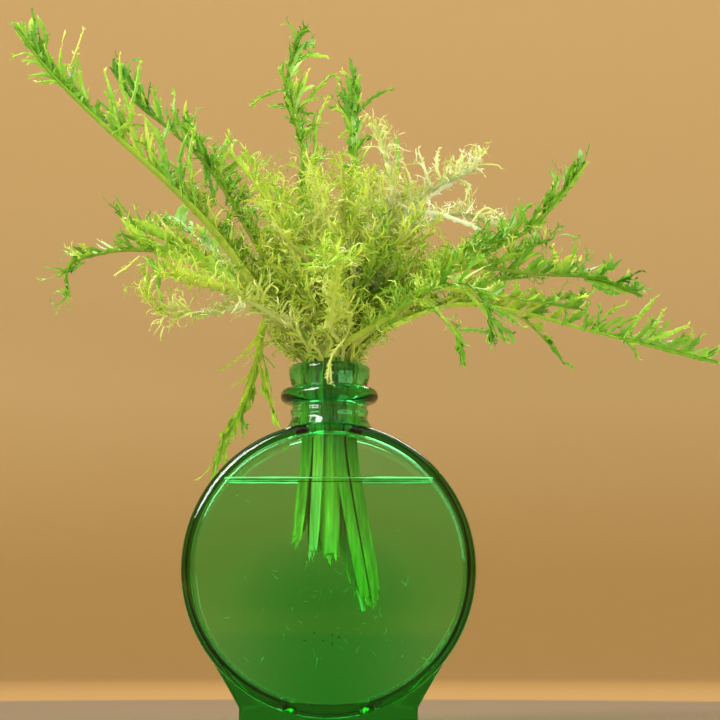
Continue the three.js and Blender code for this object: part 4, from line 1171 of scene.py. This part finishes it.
# Single large leaflets on a leaf: name, depth, and each one's half width, tone and middle line.
# A middle line has points of across and height in the picture plane, in millimetres.
LEAFLETS = [
    ("leaf_left_long", -12, [
        (3, 0.66, [(-100, 249.5), (-112.5, 263), (-126, 277)]),
        (2.2, 0.6, [(-108, 258), (-118, 269.5), (-125, 279)]),
        (1.3, 0.66, [(-114, 264), (-113.5, 273.5), (-117, 282)]),
        (0.3, 0.3, [(-106, 255), (-101, 268.5), (-98, 277)]),
        (1, 0.64, [(-108, 256), (-116, 262.5), (-123.5, 264)]),
        (0.9, 0.64, [(-105.5, 253.5), (-113, 258), (-120.5, 257.5)]),
        (0.9, 0.6, [(-101.5, 249.5), (-109, 255), (-117, 255)]),
        (0.4, 0.55, [(-114, 263), (-121.5, 266.5), (-127, 265)]),
        (1.4, 0.55, [(-87, 234), (-80, 239), (-79, 248.5)]),
        (0.9, 0.6, [(-79, 243), (-83, 252.5), (-84, 266)]),
        (0.9, 0.62, [(-79.5, 245.5), (-77.5, 252.5), (-76, 263)]),
        (0.9, 0.6, [(-84, 233.5), (-87, 248), (-90.5, 260.5)]),
        (0.7, 0.62, [(-83, 234), (-85, 240), (-88, 243)]),
        (1, 0.66, [(-63, 213.5), (-68, 232.5), (-75, 242)]),
        (0.8, 0.66, [(-67.5, 231), (-65, 235.5), (-64.5, 240)]),
        (0.9, 0.66, [(-59, 209.5), (-60, 224), (-56.5, 235.5)]),
        (0.9, 0.64, [(-53.5, 205.5), (-56, 222), (-54.5, 236)]),
        (0.9, 0.7, [(-61.5, 212.5), (-66, 221.5), (-68.5, 229.5)]),
        (0.9, 0.72, [(-56, 207), (-59, 216), (-63, 223)]),
    ]),
    ("leaf_left_upright", 7, [
        (1.2, 0.6, [(-46, 209.5), (-43.5, 224.5), (-40, 235)]),
        (0.8, 0.64, [(-44, 217.5), (-38, 222.5), (-34, 227)]),
        (0.8, 0.7, [(-41.5, 205.5), (-40, 216), (-36.5, 224.5)]),
        (0.9, 0.74, [(-49.5, 212.5), (-50, 221.5), (-52.5, 228)]),
        (0.9, 0.74, [(-45.5, 205.5), (-48, 216), (-49.5, 224)]),
        (0.7, 0.55, [(-41.5, 192), (-38.5, 204.5), (-31, 211)]),
        (0.5, 0.55, [(-38.5, 204.5), (-40, 208.5), (-41.5, 212)]),
    ]),
    ("leaf_left_low", -21, [
        (2.8, 0.56, [(-53.5, 183), (-72, 190), (-83.5, 200.5)]),
        (2.2, 0.56, [(-56, 187), (-69.5, 195), (-78, 200)]),
        (1, 0.35, [(-56, 188), (-64, 195), (-67, 199)]),
        (1.8, 0.68, [(-73.5, 185.5), (-68.5, 179), (-68.5, 172)]),
        (0.8, 0.58, [(-68.5, 174), (-67.5, 168), (-65.5, 163)]),
        (0.5, 0.3, [(-76, 185.5), (-81.5, 180.5), (-86.5, 177.5)]),
        (0.7, 0.6, [(-95, 184.5), (-98, 185.5), (-99.5, 188.5)]),
        (0.9, 0.7, [(-98, 183), (-104, 180), (-108, 178)]),
        (3.4, 0.52, [(-36, 172), (-50, 183), (-66, 188)]),
        (2.8, 0.46, [(-37.5, 169.5), (-52, 177.5), (-64.5, 180.5)]),
    ]),
    ("leaf_right_high", 3, [
        (2.2, 0.58, [(83, 198), (94, 211), (103, 223)]),
        (1.2, 0.6, [(83.5, 194), (88, 208), (90, 216)]),
        (0.9, 0.66, [(66.5, 187), (64, 195), (63, 201)]),
        (0.9, 0.66, [(73, 189.5), (70, 196.5), (68, 202)]),
        (1, 0.66, [(81, 193.5), (78, 200), (74.5, 205.5)]),
        (0.8, 0.66, [(77, 200), (78.5, 204.5), (82, 206.5)]),
    ]),
    ("leaf_right_middle", -16, [
        (2.4, 0.62, [(102, 176), (114, 174), (124.5, 170)]),
        (1.3, 0.7, [(102.5, 176), (110, 179.5), (115.5, 182)]),
        (0.8, 0.7, [(106, 177.5), (110.5, 180.5), (113.5, 185.5)]),
        (0.6, 0.2, [(96, 177), (97.5, 184), (98.5, 189)]),
        (0.8, 0.5, [(87.5, 177.5), (90.5, 183), (89, 189.5)]),
        (1, 0.74, [(105, 174), (112, 171), (117, 170.5)]),
        (0.9, 0.62, [(113, 174), (118, 176), (120, 179)]),
    ]),
    ("leaf_right_long", 10, [
        (0.7, 0.66, [(93, 157.5), (94, 159), (95, 164)]),
        (0.8, 0.66, [(101.5, 155), (102.5, 160), (103.5, 166.5)]),
        (0.8, 0.66, [(106, 154), (107.5, 160), (108.5, 166)]),
        (1.7, 0.55, [(119.5, 150), (132, 153), (143.5, 158)]),
        (1.2, 0.6, [(124, 150.5), (130.5, 158.5), (133.5, 163.5)]),
        (1, 0.56, [(117, 151), (124.5, 162), (130.5, 169)]),
        (0.9, 0.64, [(110, 153.5), (118, 159), (124, 161.5)]),
        (0.7, 0.66, [(142, 146), (147.5, 151.5), (149.5, 154)]),
        (1.5, 0.55, [(134, 148), (146.5, 145), (156, 142.5)]),
        (0.8, 0.66, [(117, 152.5), (121.5, 148), (124, 144)]),
        (0.7, 0.58, [(106.5, 155), (112, 163), (118.5, 166)]),
    ]),
    ("leaf_right_front", -44, [
        (1, 0.55, [(54.5, 171), (64, 160.5), (63, 150.5)]),
        (0.8, 0.7, [(63.5, 164), (68, 156.5), (71, 151)]),
        (0.8, 0.7, [(62.5, 165.5), (71.5, 161.5), (77.5, 157)]),
        (0.7, 0.7, [(52, 156), (58.5, 156), (64, 155)]),
        (1.1, 0.64, [(51.5, 156.5), (53, 148), (54, 140.5)]),
    ]),
    ("leaf_top_left", 29, [
        (1, 0.64, [(-14, 267), (-13, 273.5), (-9, 276)]),
        (1.4, 0.58, [(-15.5, 261.5), (-8, 266), (0, 265)]),
        (0.8, 0.64, [(-8.5, 265), (-7.5, 267.5), (-8, 270)]),
        (0.7, 0.6, [(-16, 252.5), (-24, 250.5), (-32, 245.5)]),
        (0.5, 0.64, [(-15, 244.5), (-19.5, 245.5), (-23.5, 245)]),
        (0.7, 0.6, [(-13.5, 242), (-6, 251), (0.5, 258)]),
        (0.5, 0.6, [(-1.5, 256.5), (2, 258), (3.5, 254.5)]),
        (0.6, 0.7, [(-14, 244.5), (-9, 242.5), (-4, 242.5)]),
        (1.1, 0, [(-17.5, 254), (-17, 250), (-15, 245.5)]),
        (0.8, 0.54, [(-5.5, 218), (-5.5, 236), (-0.5, 250)]),
        (0.6, 0.55, [(-5.5, 236), (-8, 238.5), (-12.5, 240)]),
    ]),
    ("leaf_top", 36, [
        (2.6, 0.74, [(9.5, 232), (9, 248), (7.5, 258)]),
        (2.4, 0.74, [(10, 232), (10.5, 248), (12, 258)]),
        (1.4, 0.74, [(9, 240.5), (6, 248.5), (3, 252)]),
        (1.1, 0.7, [(10, 240.5), (17, 248.5), (25, 252.5)]),
        (0.9, 0.7, [(9, 241.5), (4, 244.5), (-1, 245.5)]),
        (1, 0.72, [(9.5, 227), (14.5, 232), (19.5, 234.5)]),
        (1, 0.35, [(3.5, 232.5), (8, 236.5), (9.5, 241.5)]),
        (1.1, 0.68, [(27.5, 217.5), (27, 227), (26.5, 234)]),
    ]),
    ("leaf_cream_right", 1, [
        (0.7, 0.14, [(41, 209.5), (38.5, 219), (35.5, 228.5)]),
        (0.6, 0.12, [(46, 212.5), (43, 220.5), (43.5, 228)]),
        (1.1, 0.04, [(38, 207), (47.5, 214), (56, 219)]),
        (0.7, 0.1, [(49, 215), (53, 220.5), (53, 227)]),
        (0.7, 0.12, [(52, 216.5), (58, 220.5), (62, 218)]),
        (0.7, 0.14, [(51.5, 216), (56, 213.5), (54.5, 209.5)]),
        (0.6, 0.18, [(33, 206), (32, 216.5), (29, 224)]),
        (1.2, 0.03, [(26, 204.5), (44, 202), (61, 196)]),
        (0.6, 0.18, [(56, 197.5), (62.5, 204.5), (68, 202)]),
    ]),
    ("leaf_front", -17.4, [
        (0.55, 0.3, [(6.5, 152.5), (1.5, 146.5), (0, 141.5)]),
        (0.4, 0.3, [(0, 144), (-0.5, 139), (-1, 135)]),
        (0.4, 0.25, [(0, 143), (0.5, 138), (1, 134)]),
    ]),
]


def stalk_points(ring, slot, foot):
    """Points of a stalk in metres, from its foot up through its slot in the bore to just above the rim."""
    radius = OUTER_RING_RADIUS if ring == "outer" else INNER_RING_RADIUS
    turn = math.radians(slot + (INNER_RING_TURN if ring == "inner" else 0))
    x, y = radius * math.cos(turn), radius * math.sin(turn)
    rim = RIM_Z / MM
    heights = [BORE_ENTRY_Z, (BORE_ENTRY_Z + rim) / 2, rim - 4, rim + 5]
    return [np.array(foot) * MM] + [np.array([x, y, z]) * MM for z in heights]


# Shreds at a cut foot, stations along ribs and leaflets, and the space between lobes and in clusters
FOOT_SHREDS = 6
RIB_SPACING = 1.6 * MM
FRIZZ_PITCH = 1.15 * MM
FINGER_PITCH = 2.7 * MM
CLUSTER = 7 * MM
FRIZZ_TO_FINGER = 0.12
LAMINA_THICK = 0.2
LEAFLET_SPACING = 1.3 * MM


def fray_foot(mesh, rng, rib, half_width, tone):
    """Short shreds at the cut foot of a stalk."""
    beside = rng.uniform(-0.8, 0.8, FOOT_SHREDS)[:, None] * half_width
    lead = np.tile(-rib.forward[0, 0], (FOOT_SHREDS, 1)) + rng.normal(0, 0.12, (FOOT_SHREDS, 3))
    place = rib.centre[0, 0] + rib.side[0, 0] * beside - lead * MM
    face = np.tile(rib.upper[0, 0], (FOOT_SHREDS, 1))
    reach = rng.uniform(2.0, 6.0, FOOT_SHREDS) * MM
    scale = np.full(FOOT_SHREDS, 1.8)
    rows = [place, lead, face, reach, scale, np.full(FOOT_SHREDS, tone)]
    sprout(mesh, rng, rows, FINGER["hair"], 1.3)


def add_rib(mesh, rng, rib_data, points, is_stalk, tones):
    """One rib with its blade, lobes, branches and hairs."""
    places, at = smooth_curve(points, RIB_SPACING)
    rib = rib_blades(places, len(places) // 3 if is_stalk else 0)
    above = np.argmax(places[:, 2] > RIM_Z + 1.5 * MM) if is_stalk else 0
    bare = at[above]
    share = ((at - bare) / (at[-1] - bare)).clip(0, 1)
    foot = np.minimum(1, 0.75 + at / (40 * MM)) if is_stalk else np.full(len(at), 0.75)
    swell = 1 + (rib_data["thick"] - 1) * np.minimum(1, share * 8)
    inside = 1 + STALK_SPREAD * (1 - np.minimum(1, np.maximum(0, at - bare) / (8 * MM))) * is_stalk
    half_width = STALK_HALF_WIDTH * MM * foot * swell * inside * (1 - 0.66 * share)
    half_depth = STALK_HALF_DEPTH * MM * foot * swell * (1 - 0.85 * share**0.6)
    rib_tone = tones[0] * 0.8 + (tones[1] * 0.9 - tones[0] * 0.8) * share
    shade = 1.0
    # Painted shade: below the rim each stalk gets a darker green tone and a darker colour, deepest in the
    # bore.
    if is_stalk:
        low = share < 0.05
        rib_tone = rib_tone + np.interp(places[:, 2] / MM, STALK_PAINTED_SHADE_Z, STALK_PAINTED_SHADE_TONE) * low
        shade = np.where(low, np.interp(places[:, 2] / MM, STALK_PAINTED_SHADE_Z, STALK_PAINTED_SHADE), 1.0)
        shade = (shade * rng.uniform(0.8, 1.15))[None]
    mesh.add(
        rib, half_width[None], half_width[None], half_depth[None],
        rib_tone[None], fold=(half_width * 0.25)[None], shade=shade,
    )
    if is_stalk:
        fray_foot(mesh, rng, rib, half_width[0], rib_tone[0])
    grown = slice(above, None)
    leafy = Blades(*(part[:, grown] for part in (rib.centre, rib.forward, rib.side, rib.upper)))
    run = share[grown]
    frizz = rib_data["frizz"]
    beside = np.interp(run, [0, 0.15, frizz, frizz + 0.12], [0.15, 1, 1, rib_data["bare"]])
    end = rib_data["tip"] * np.sin(np.pi * ((run - 0.7) / 0.32).clip(0, 1)) ** 0.6
    width = MM * (rib_data["blade"] * beside * (1 - run) ** 0.5 + end + 0.15)
    lamina_tone = tones[0] + (tones[1] - tones[0]) * run
    add_lamina(mesh, rng, leafy, at[grown], width, lamina_tone, rib_data["lift"])
    grow_edges(mesh, rng, rib, rib_data, at, bare, tones)


def grow_edges(mesh, rng, rib, rib_data, at, bare, tones):
    """Curly lobes on the lower part of a rib's blade and fingers past them, partly in clusters."""
    blade = at[-1] - bare
    for style, pitch, low, high in (
        (FRIZZ, FRIZZ_PITCH, 0.0, rib_data["frizz"]),
        (FINGER, FINGER_PITCH, rib_data["frizz"], 0.985),
    ):
        span = (high - low) * blade
        count = int(span / (pitch * rib_data["pitch"]))
        if count < 1:
            continue
        along = low + (high - low) * (np.arange(count) + rng.uniform(0, 1, count)) / count
        grouped = np.round(along * blade / CLUSTER) * CLUSTER / blade
        along = np.where(rng.random(count) < style["cluster"], grouped, along).clip(low, high)
        if style is FRIZZ and high < 0.95:
            along += rng.exponential(FRIZZ_TO_FINGER, count) * (rng.random(count) < 0.3)
            along = along.clip(0, 0.97)
        where = np.interp(bare + along * blade, at, np.arange(len(at)))
        place, forward, side, upper = along_rib(rib, where)
        reach = rib_data["lobe"] * MM * rng.uniform(0.5, 1.3, count)
        if style is FRIZZ:
            reach *= 0.4 + 0.6 * np.minimum(1, along * blade / (16 * MM))
        else:
            reach *= rib_data["finger"] * (1.35 - 0.6 * (along - low) / (1 - low))
        tone = tones[0] + (tones[1] - tones[0]) * along + rng.normal(0, 0.06, count)
        rows = [place, forward, side, upper, reach, tone]
        add_lobes(mesh, rng, rows, style, rib_data["lift"], rib_data["up"], rib_data["wide"])


def add_leaflet(mesh, rng, points, width, tone):
    """One flat leaflet that turns its face to the eye, with small teeth on its edges."""
    places, at = smooth_curve(points, LEAFLET_SPACING)
    forward = unit(np.gradient(places, axis=0))
    away = unit(places - EYE)
    turn = rng.uniform(-0.6, 0.6)
    side = unit(np.cross(forward, away) * math.cos(turn) + away * math.sin(turn))
    side = unit(side - forward * (forward * side).sum(1, keepdims=True))
    blade = Blades(places[None], forward[None], side[None], np.cross(side, forward)[None])
    run = at / at[-1]
    outline = width * MM * (0.35 + 1.2 * run) * (1 - run**2.2).clip(0) ** 0.8 + 0.1 * MM
    ragged = outline * rng.uniform(0.55, 1.3, (2, len(at)))
    tones = tone * (1 - 0.22 * run**5) + rng.normal(0, 0.03, len(at))
    mesh.add(blade, ragged[0][None], ragged[1][None], 0.22 * MM, tones[None], fold=0.35 * ragged[0][None])
    parent = (blade, outline[None], tones[None])
    kind = FINGER["hair"] | {"count": 3 + int(at[-1] / (2 * MM))}
    sprout(mesh, rng, shoots_of(rng, parent, kind), kind, 1.2)


def build_leaf(index, leaf, material):
    """One leaf as one piece: its ribs with all that grows on them, and its single large leaflets."""
    name, ring, slot, foot, tones, ribs = leaf
    rng = np.random.default_rng(500 + index)
    mesh = LeafMesh()
    for k, rib_data in enumerate(ribs):
        points = [seen_point(*point) for point in rib_data["path"]]
        if k == 0:
            points = stalk_points(ring, slot, foot) + points
        add_rib(mesh, rng, rib_data, points, k == 0, tones)
    for depth, leaflets in (row[1:] for row in LEAFLETS if row[0] == name):
        for width, tone, line in leaflets:
            points = [seen_point(across, depth, height) for across, height in line]
            add_leaflet(mesh, rng, points, width, tone)
    obj = new_object(name.replace("leaf_", "frond_"), mesh.make(name), material)
    return piece(obj, SLOTS.get(name, "leaf_green"), name)


# Heart, in millimetres: small inner fronds that rise out of the bore and fill a ball, all frizz.
# A skirt of lower ones lies round them on the lip, with their broad bases in the bore.
HEART_FRONDS = 64
HEART_PIECES = 3
HEART_CENTRE = np.array([4.0, 0.0, 188.0])
HEART_STRETCH = np.array([1.16, 1.0, 1.0])
HEART_RADIUS = 37
HEART_REACH = (0.72, 1.08)
HEART_ROOT_RADII = (1, 8)
HEART_SWELL = 7
HEART_LOWEST = math.radians(118)
HEART_LOBE = 9.0
HEART_LAMINA = 3.2
SKIRT_FRONDS = 20
SKIRT_LAMINA = 1.6
SKIRT_ROOT_RADII = (8, 11.5)
SKIRT_TIP_RADII = (15, 26)
SKIRT_TIP_HEIGHTS = (149, 166)
HEART_STEM = [(13.4, 0.8, 44), (0, 0, 108), (0, 0, 142), (0, 0, 172)]
SHEATH_HEIGHTS = [112, 119, 126, 133, 139]
SHEATH_RADIUS = 11.0
SHEATH_HALF_WIDTH = 2.6
# Painted shade: heart fronds whose tips lie near this pocket at the front right get a darker green tone.
PAINTED_SHADE_POCKET = np.array([20.0, -26.0, 170.0])
PAINTED_SHADE_POCKET_RADIUS = 15


def heart_frond(mesh, rng, start, tip, swell, tone, lamina=HEART_LAMINA):
    """One small frond in millimetres from start to tip, which arches up by swell."""
    reach = tip[2] - start[2]
    middle = start + (tip - start) * [0.62, 0.62, 0] + [0, 0, max(0.62 * reach, 10) + swell]
    bend = np.array([rng.normal(0, 4), rng.normal(0, 4), 0])
    low = start + (middle - start) * [0.3, 0.3, 0.5]
    places, at = smooth_curve(np.array([start, low, middle + bend, tip]) * MM, RIB_SPACING)
    rib = rib_blades(places, 0)
    run = at / at[-1]
    width = 0.75 * MM * (1 - 0.8 * run)
    # Painted shade: the rib is darker near its base, low in the heart.
    shade = 0.7 + 0.3 * np.minimum(1, run * 2.5)
    rib_tone = tone * (0.95 - 0.3 * run)
    mesh.add(rib, width[None], width[None], (width * 0.5)[None], rib_tone[None], shade=shade[None])
    blade = lamina * MM * np.minimum(1, run * 4 + 0.15) * (1.02 - run) ** 0.4
    add_lamina(mesh, rng, rib, at, blade, tone + 0.05 * run, 0.5, 2.4)
    count = int(at[-1] / (2.0 * MM))
    where = (0.08 + 0.91 * np.linspace(0, 1, count) ** 0.8) * (len(at) - 1)
    place, lead, side, face = along_rib(rib, where)
    length = HEART_LOBE * MM * rng.uniform(0.5, 1.35, count)
    tones = tone + rng.normal(0, 0.06, count)
    add_lobes(mesh, rng, [place, lead, side, face, length, tones], FRIZZ, 0.5, 0.1)


def sheath(mesh, rng, level):
    """The broad base of a small frond, which stands inside the bore against the glass, with painted shade.
    """
    heights = np.array(SHEATH_HEIGHTS + [RIM_Z / MM + 2])
    radii = SHEATH_RADIUS + rng.uniform(-0.9, 0.6, len(heights))
    places = (level * radii[:, None] + [0, 0, 1] * heights[:, None]) * MM
    rib = rib_blades(places, 0)
    out = np.tile(level, (len(places), 1))
    rib = Blades(rib.centre, rib.forward, np.cross(rib.forward, out[None]), out[None])
    width = SHEATH_HALF_WIDTH * MM * np.interp(heights, [112, 120, 146], [0.3, 1, 0.8])
    # Painted shade: sheaths that face the front and back are darker than those at the sides, and all grow
    # lighter towards the rim.
    painted_shade_by_side = 0.22 + 0.6 * abs(level[0]) ** 1.5
    shade = np.interp(heights, [136, RIM_Z / MM], [1, 1.2]) * painted_shade_by_side
    mesh.add(rib, width[None], width[None], 0.3 * MM, 0.66 + rng.uniform(-0.1, 0.1), shade=shade[None])


def heart_fronds(mesh, rng, numbers):
    """The heart's small fronds with these numbers, spread by the golden angle, and then the skirt's."""
    golden = math.pi * (3 - math.sqrt(5))
    for i in numbers:
        turn = i * golden
        level = np.array([math.cos(turn), math.sin(turn), 0])
        if i >= HEART_FRONDS:
            start = level * rng.uniform(*SKIRT_ROOT_RADII) + [0, 0, RIM_Z / MM - 1]
            tip = level * rng.uniform(*SKIRT_TIP_RADII) + [0, 0, rng.uniform(*SKIRT_TIP_HEIGHTS)]
            heart_frond(mesh, rng, start, tip, -2, rng.uniform(0.3, 0.48), SKIRT_LAMINA)
            sheath(mesh, rng, level)
            continue
        start = level * rng.uniform(*HEART_ROOT_RADII) + [0, 0, RIM_Z / MM + 1]
        share = (i + 0.5) / HEART_FRONDS
        polar = math.acos(1 - share * (1 - math.cos(HEART_LOWEST)))
        radius = HEART_RADIUS * rng.uniform(*HEART_REACH)
        tip = level * radius * math.sin(polar) + [0, 0, radius * math.cos(polar)]
        tip = HEART_CENTRE + tip * HEART_STRETCH
        # Painted shade: a darker tone for tips near the pocket.
        apart = np.linalg.norm(tip - PAINTED_SHADE_POCKET) / PAINTED_SHADE_POCKET_RADIUS
        tone = rng.uniform(0.26, 0.5) + 0.4 * math.exp(-(apart**2))
        heart_frond(mesh, rng, start, tip, HEART_SWELL * math.sin(polar), tone)


def build_heart(material):
    """The heart as a few pieces of about the same size, the first with its stem."""
    fronds = HEART_FRONDS + SKIRT_FRONDS
    for part in range(HEART_PIECES):
        mesh = LeafMesh()
        if part == 0:
            stem, at = smooth_curve(np.array(HEART_STEM) * MM, 3 * MM)
            thick = 2.1 * MM * np.minimum(1, 0.5 + at / (60 * MM))
            mesh.add(rib_blades(stem, 0), thick[None], thick[None], thick[None] * 0.85, 0.15)
        heart_fronds(mesh, np.random.default_rng(91 + part), range(part, fronds, HEART_PIECES))
        name = f"heart_frizz_{part + 1}"
        piece(new_object(name, mesh.make(name), material), "leaf_heart", "heart")


# Stage, lights and camera. The stage's flat radius, the curve at its edge and its top are in metres.
STAGE_FLAT = 1.4
STAGE_CURVE = 0.8
STAGE_TOP = 2.4


def build_stage():
    """A pale floor that runs up into a wall all round, well outside the camera's place."""
    profile = [(radius, 0.0) for radius in (0.001, 0.2, 0.4, 0.8, STAGE_FLAT)]
    profile += arc((STAGE_FLAT, STAGE_CURVE), STAGE_CURVE, -90, 0, 16)[1:]
    profile.append((STAGE_FLAT + STAGE_CURVE, STAGE_TOP))
    mesh = turned_mesh("stage", profile, 96, open_end=True)
    smooth(mesh)
    floor = new_object("stage_floor", mesh, stage_material())


def add_light(name, place, target, size, watts, colour):
    """A rectangular lamp at a place, turned to the target."""
    light = bpy.data.lights.new(name, "AREA")
    light.shape = "RECTANGLE"
    light.size, light.size_y = size
    light.energy = watts
    light.color = colour
    obj = bpy.data.objects.new(name, light)
    bpy.context.scene.collection.objects.link(obj)
    direction = np.array(target) - np.array(place)
    obj.location = place
    yaw = math.atan2(direction[0], -direction[1])
    pitch = math.atan2(math.hypot(direction[0], direction[1]), -direction[2])
    obj.rotation_euler = (pitch, 0, yaw + math.pi)
    obj.visible_camera = False
    return obj


def build_lights():
    centre = (0.0, 0.0, 0.15)
    add_light("key", (-1.0, -0.75, 1.1), centre, (0.8, 1.1), 53.0, (1.0, 0.99, 0.96))
    fill = add_light("fill", (1.1, -0.7, 0.8), centre, (1.4, 1.4), 28.0, (1.0, 0.99, 0.96))
    fill.visible_glossy = False
    add_light("top_back", (0.2, 0.9, 1.3), centre, (1.2, 0.8), 27.0, (1.0, 0.98, 0.94))
    world = bpy.data.worlds.new("soft_room")
    world.use_nodes = True
    background = world.node_tree.nodes["Background"]
    background.inputs["Color"].default_value = (1.0, 0.98, 0.94, 1)
    background.inputs["Strength"].default_value = 0.8
    bpy.context.scene.world = world


def build_camera():
    """The camera stands at the photograph's eye and looks a little upwards."""
    camera = bpy.data.cameras.new("camera")
    camera.lens = FOCAL_MM
    camera.sensor_width = SENSOR_MM
    camera.clip_start = 0.01
    camera.clip_end = 20
    obj = bpy.data.objects.new("camera", camera)
    bpy.context.scene.collection.objects.link(obj)
    lead = AIM - EYE
    obj.location = EYE
    obj.rotation_euler = (math.pi / 2 + math.atan2(lead[2], lead[1]), 0, 0)
    bpy.context.scene.camera = obj


def main():
    bpy.context.scene.view_settings.view_transform = "Standard"
    build_camera()
    build_stage()
    build_lights()
    build_bottle(glass_material())
    build_water(water_material())
    build_waterline(waterline_material())
    green = leaf_material("leaf_tissue")
    build_specks(green)
    for index, leaf in enumerate(LEAVES):
        build_leaf(index, leaf, green)
    build_heart(green)


main()
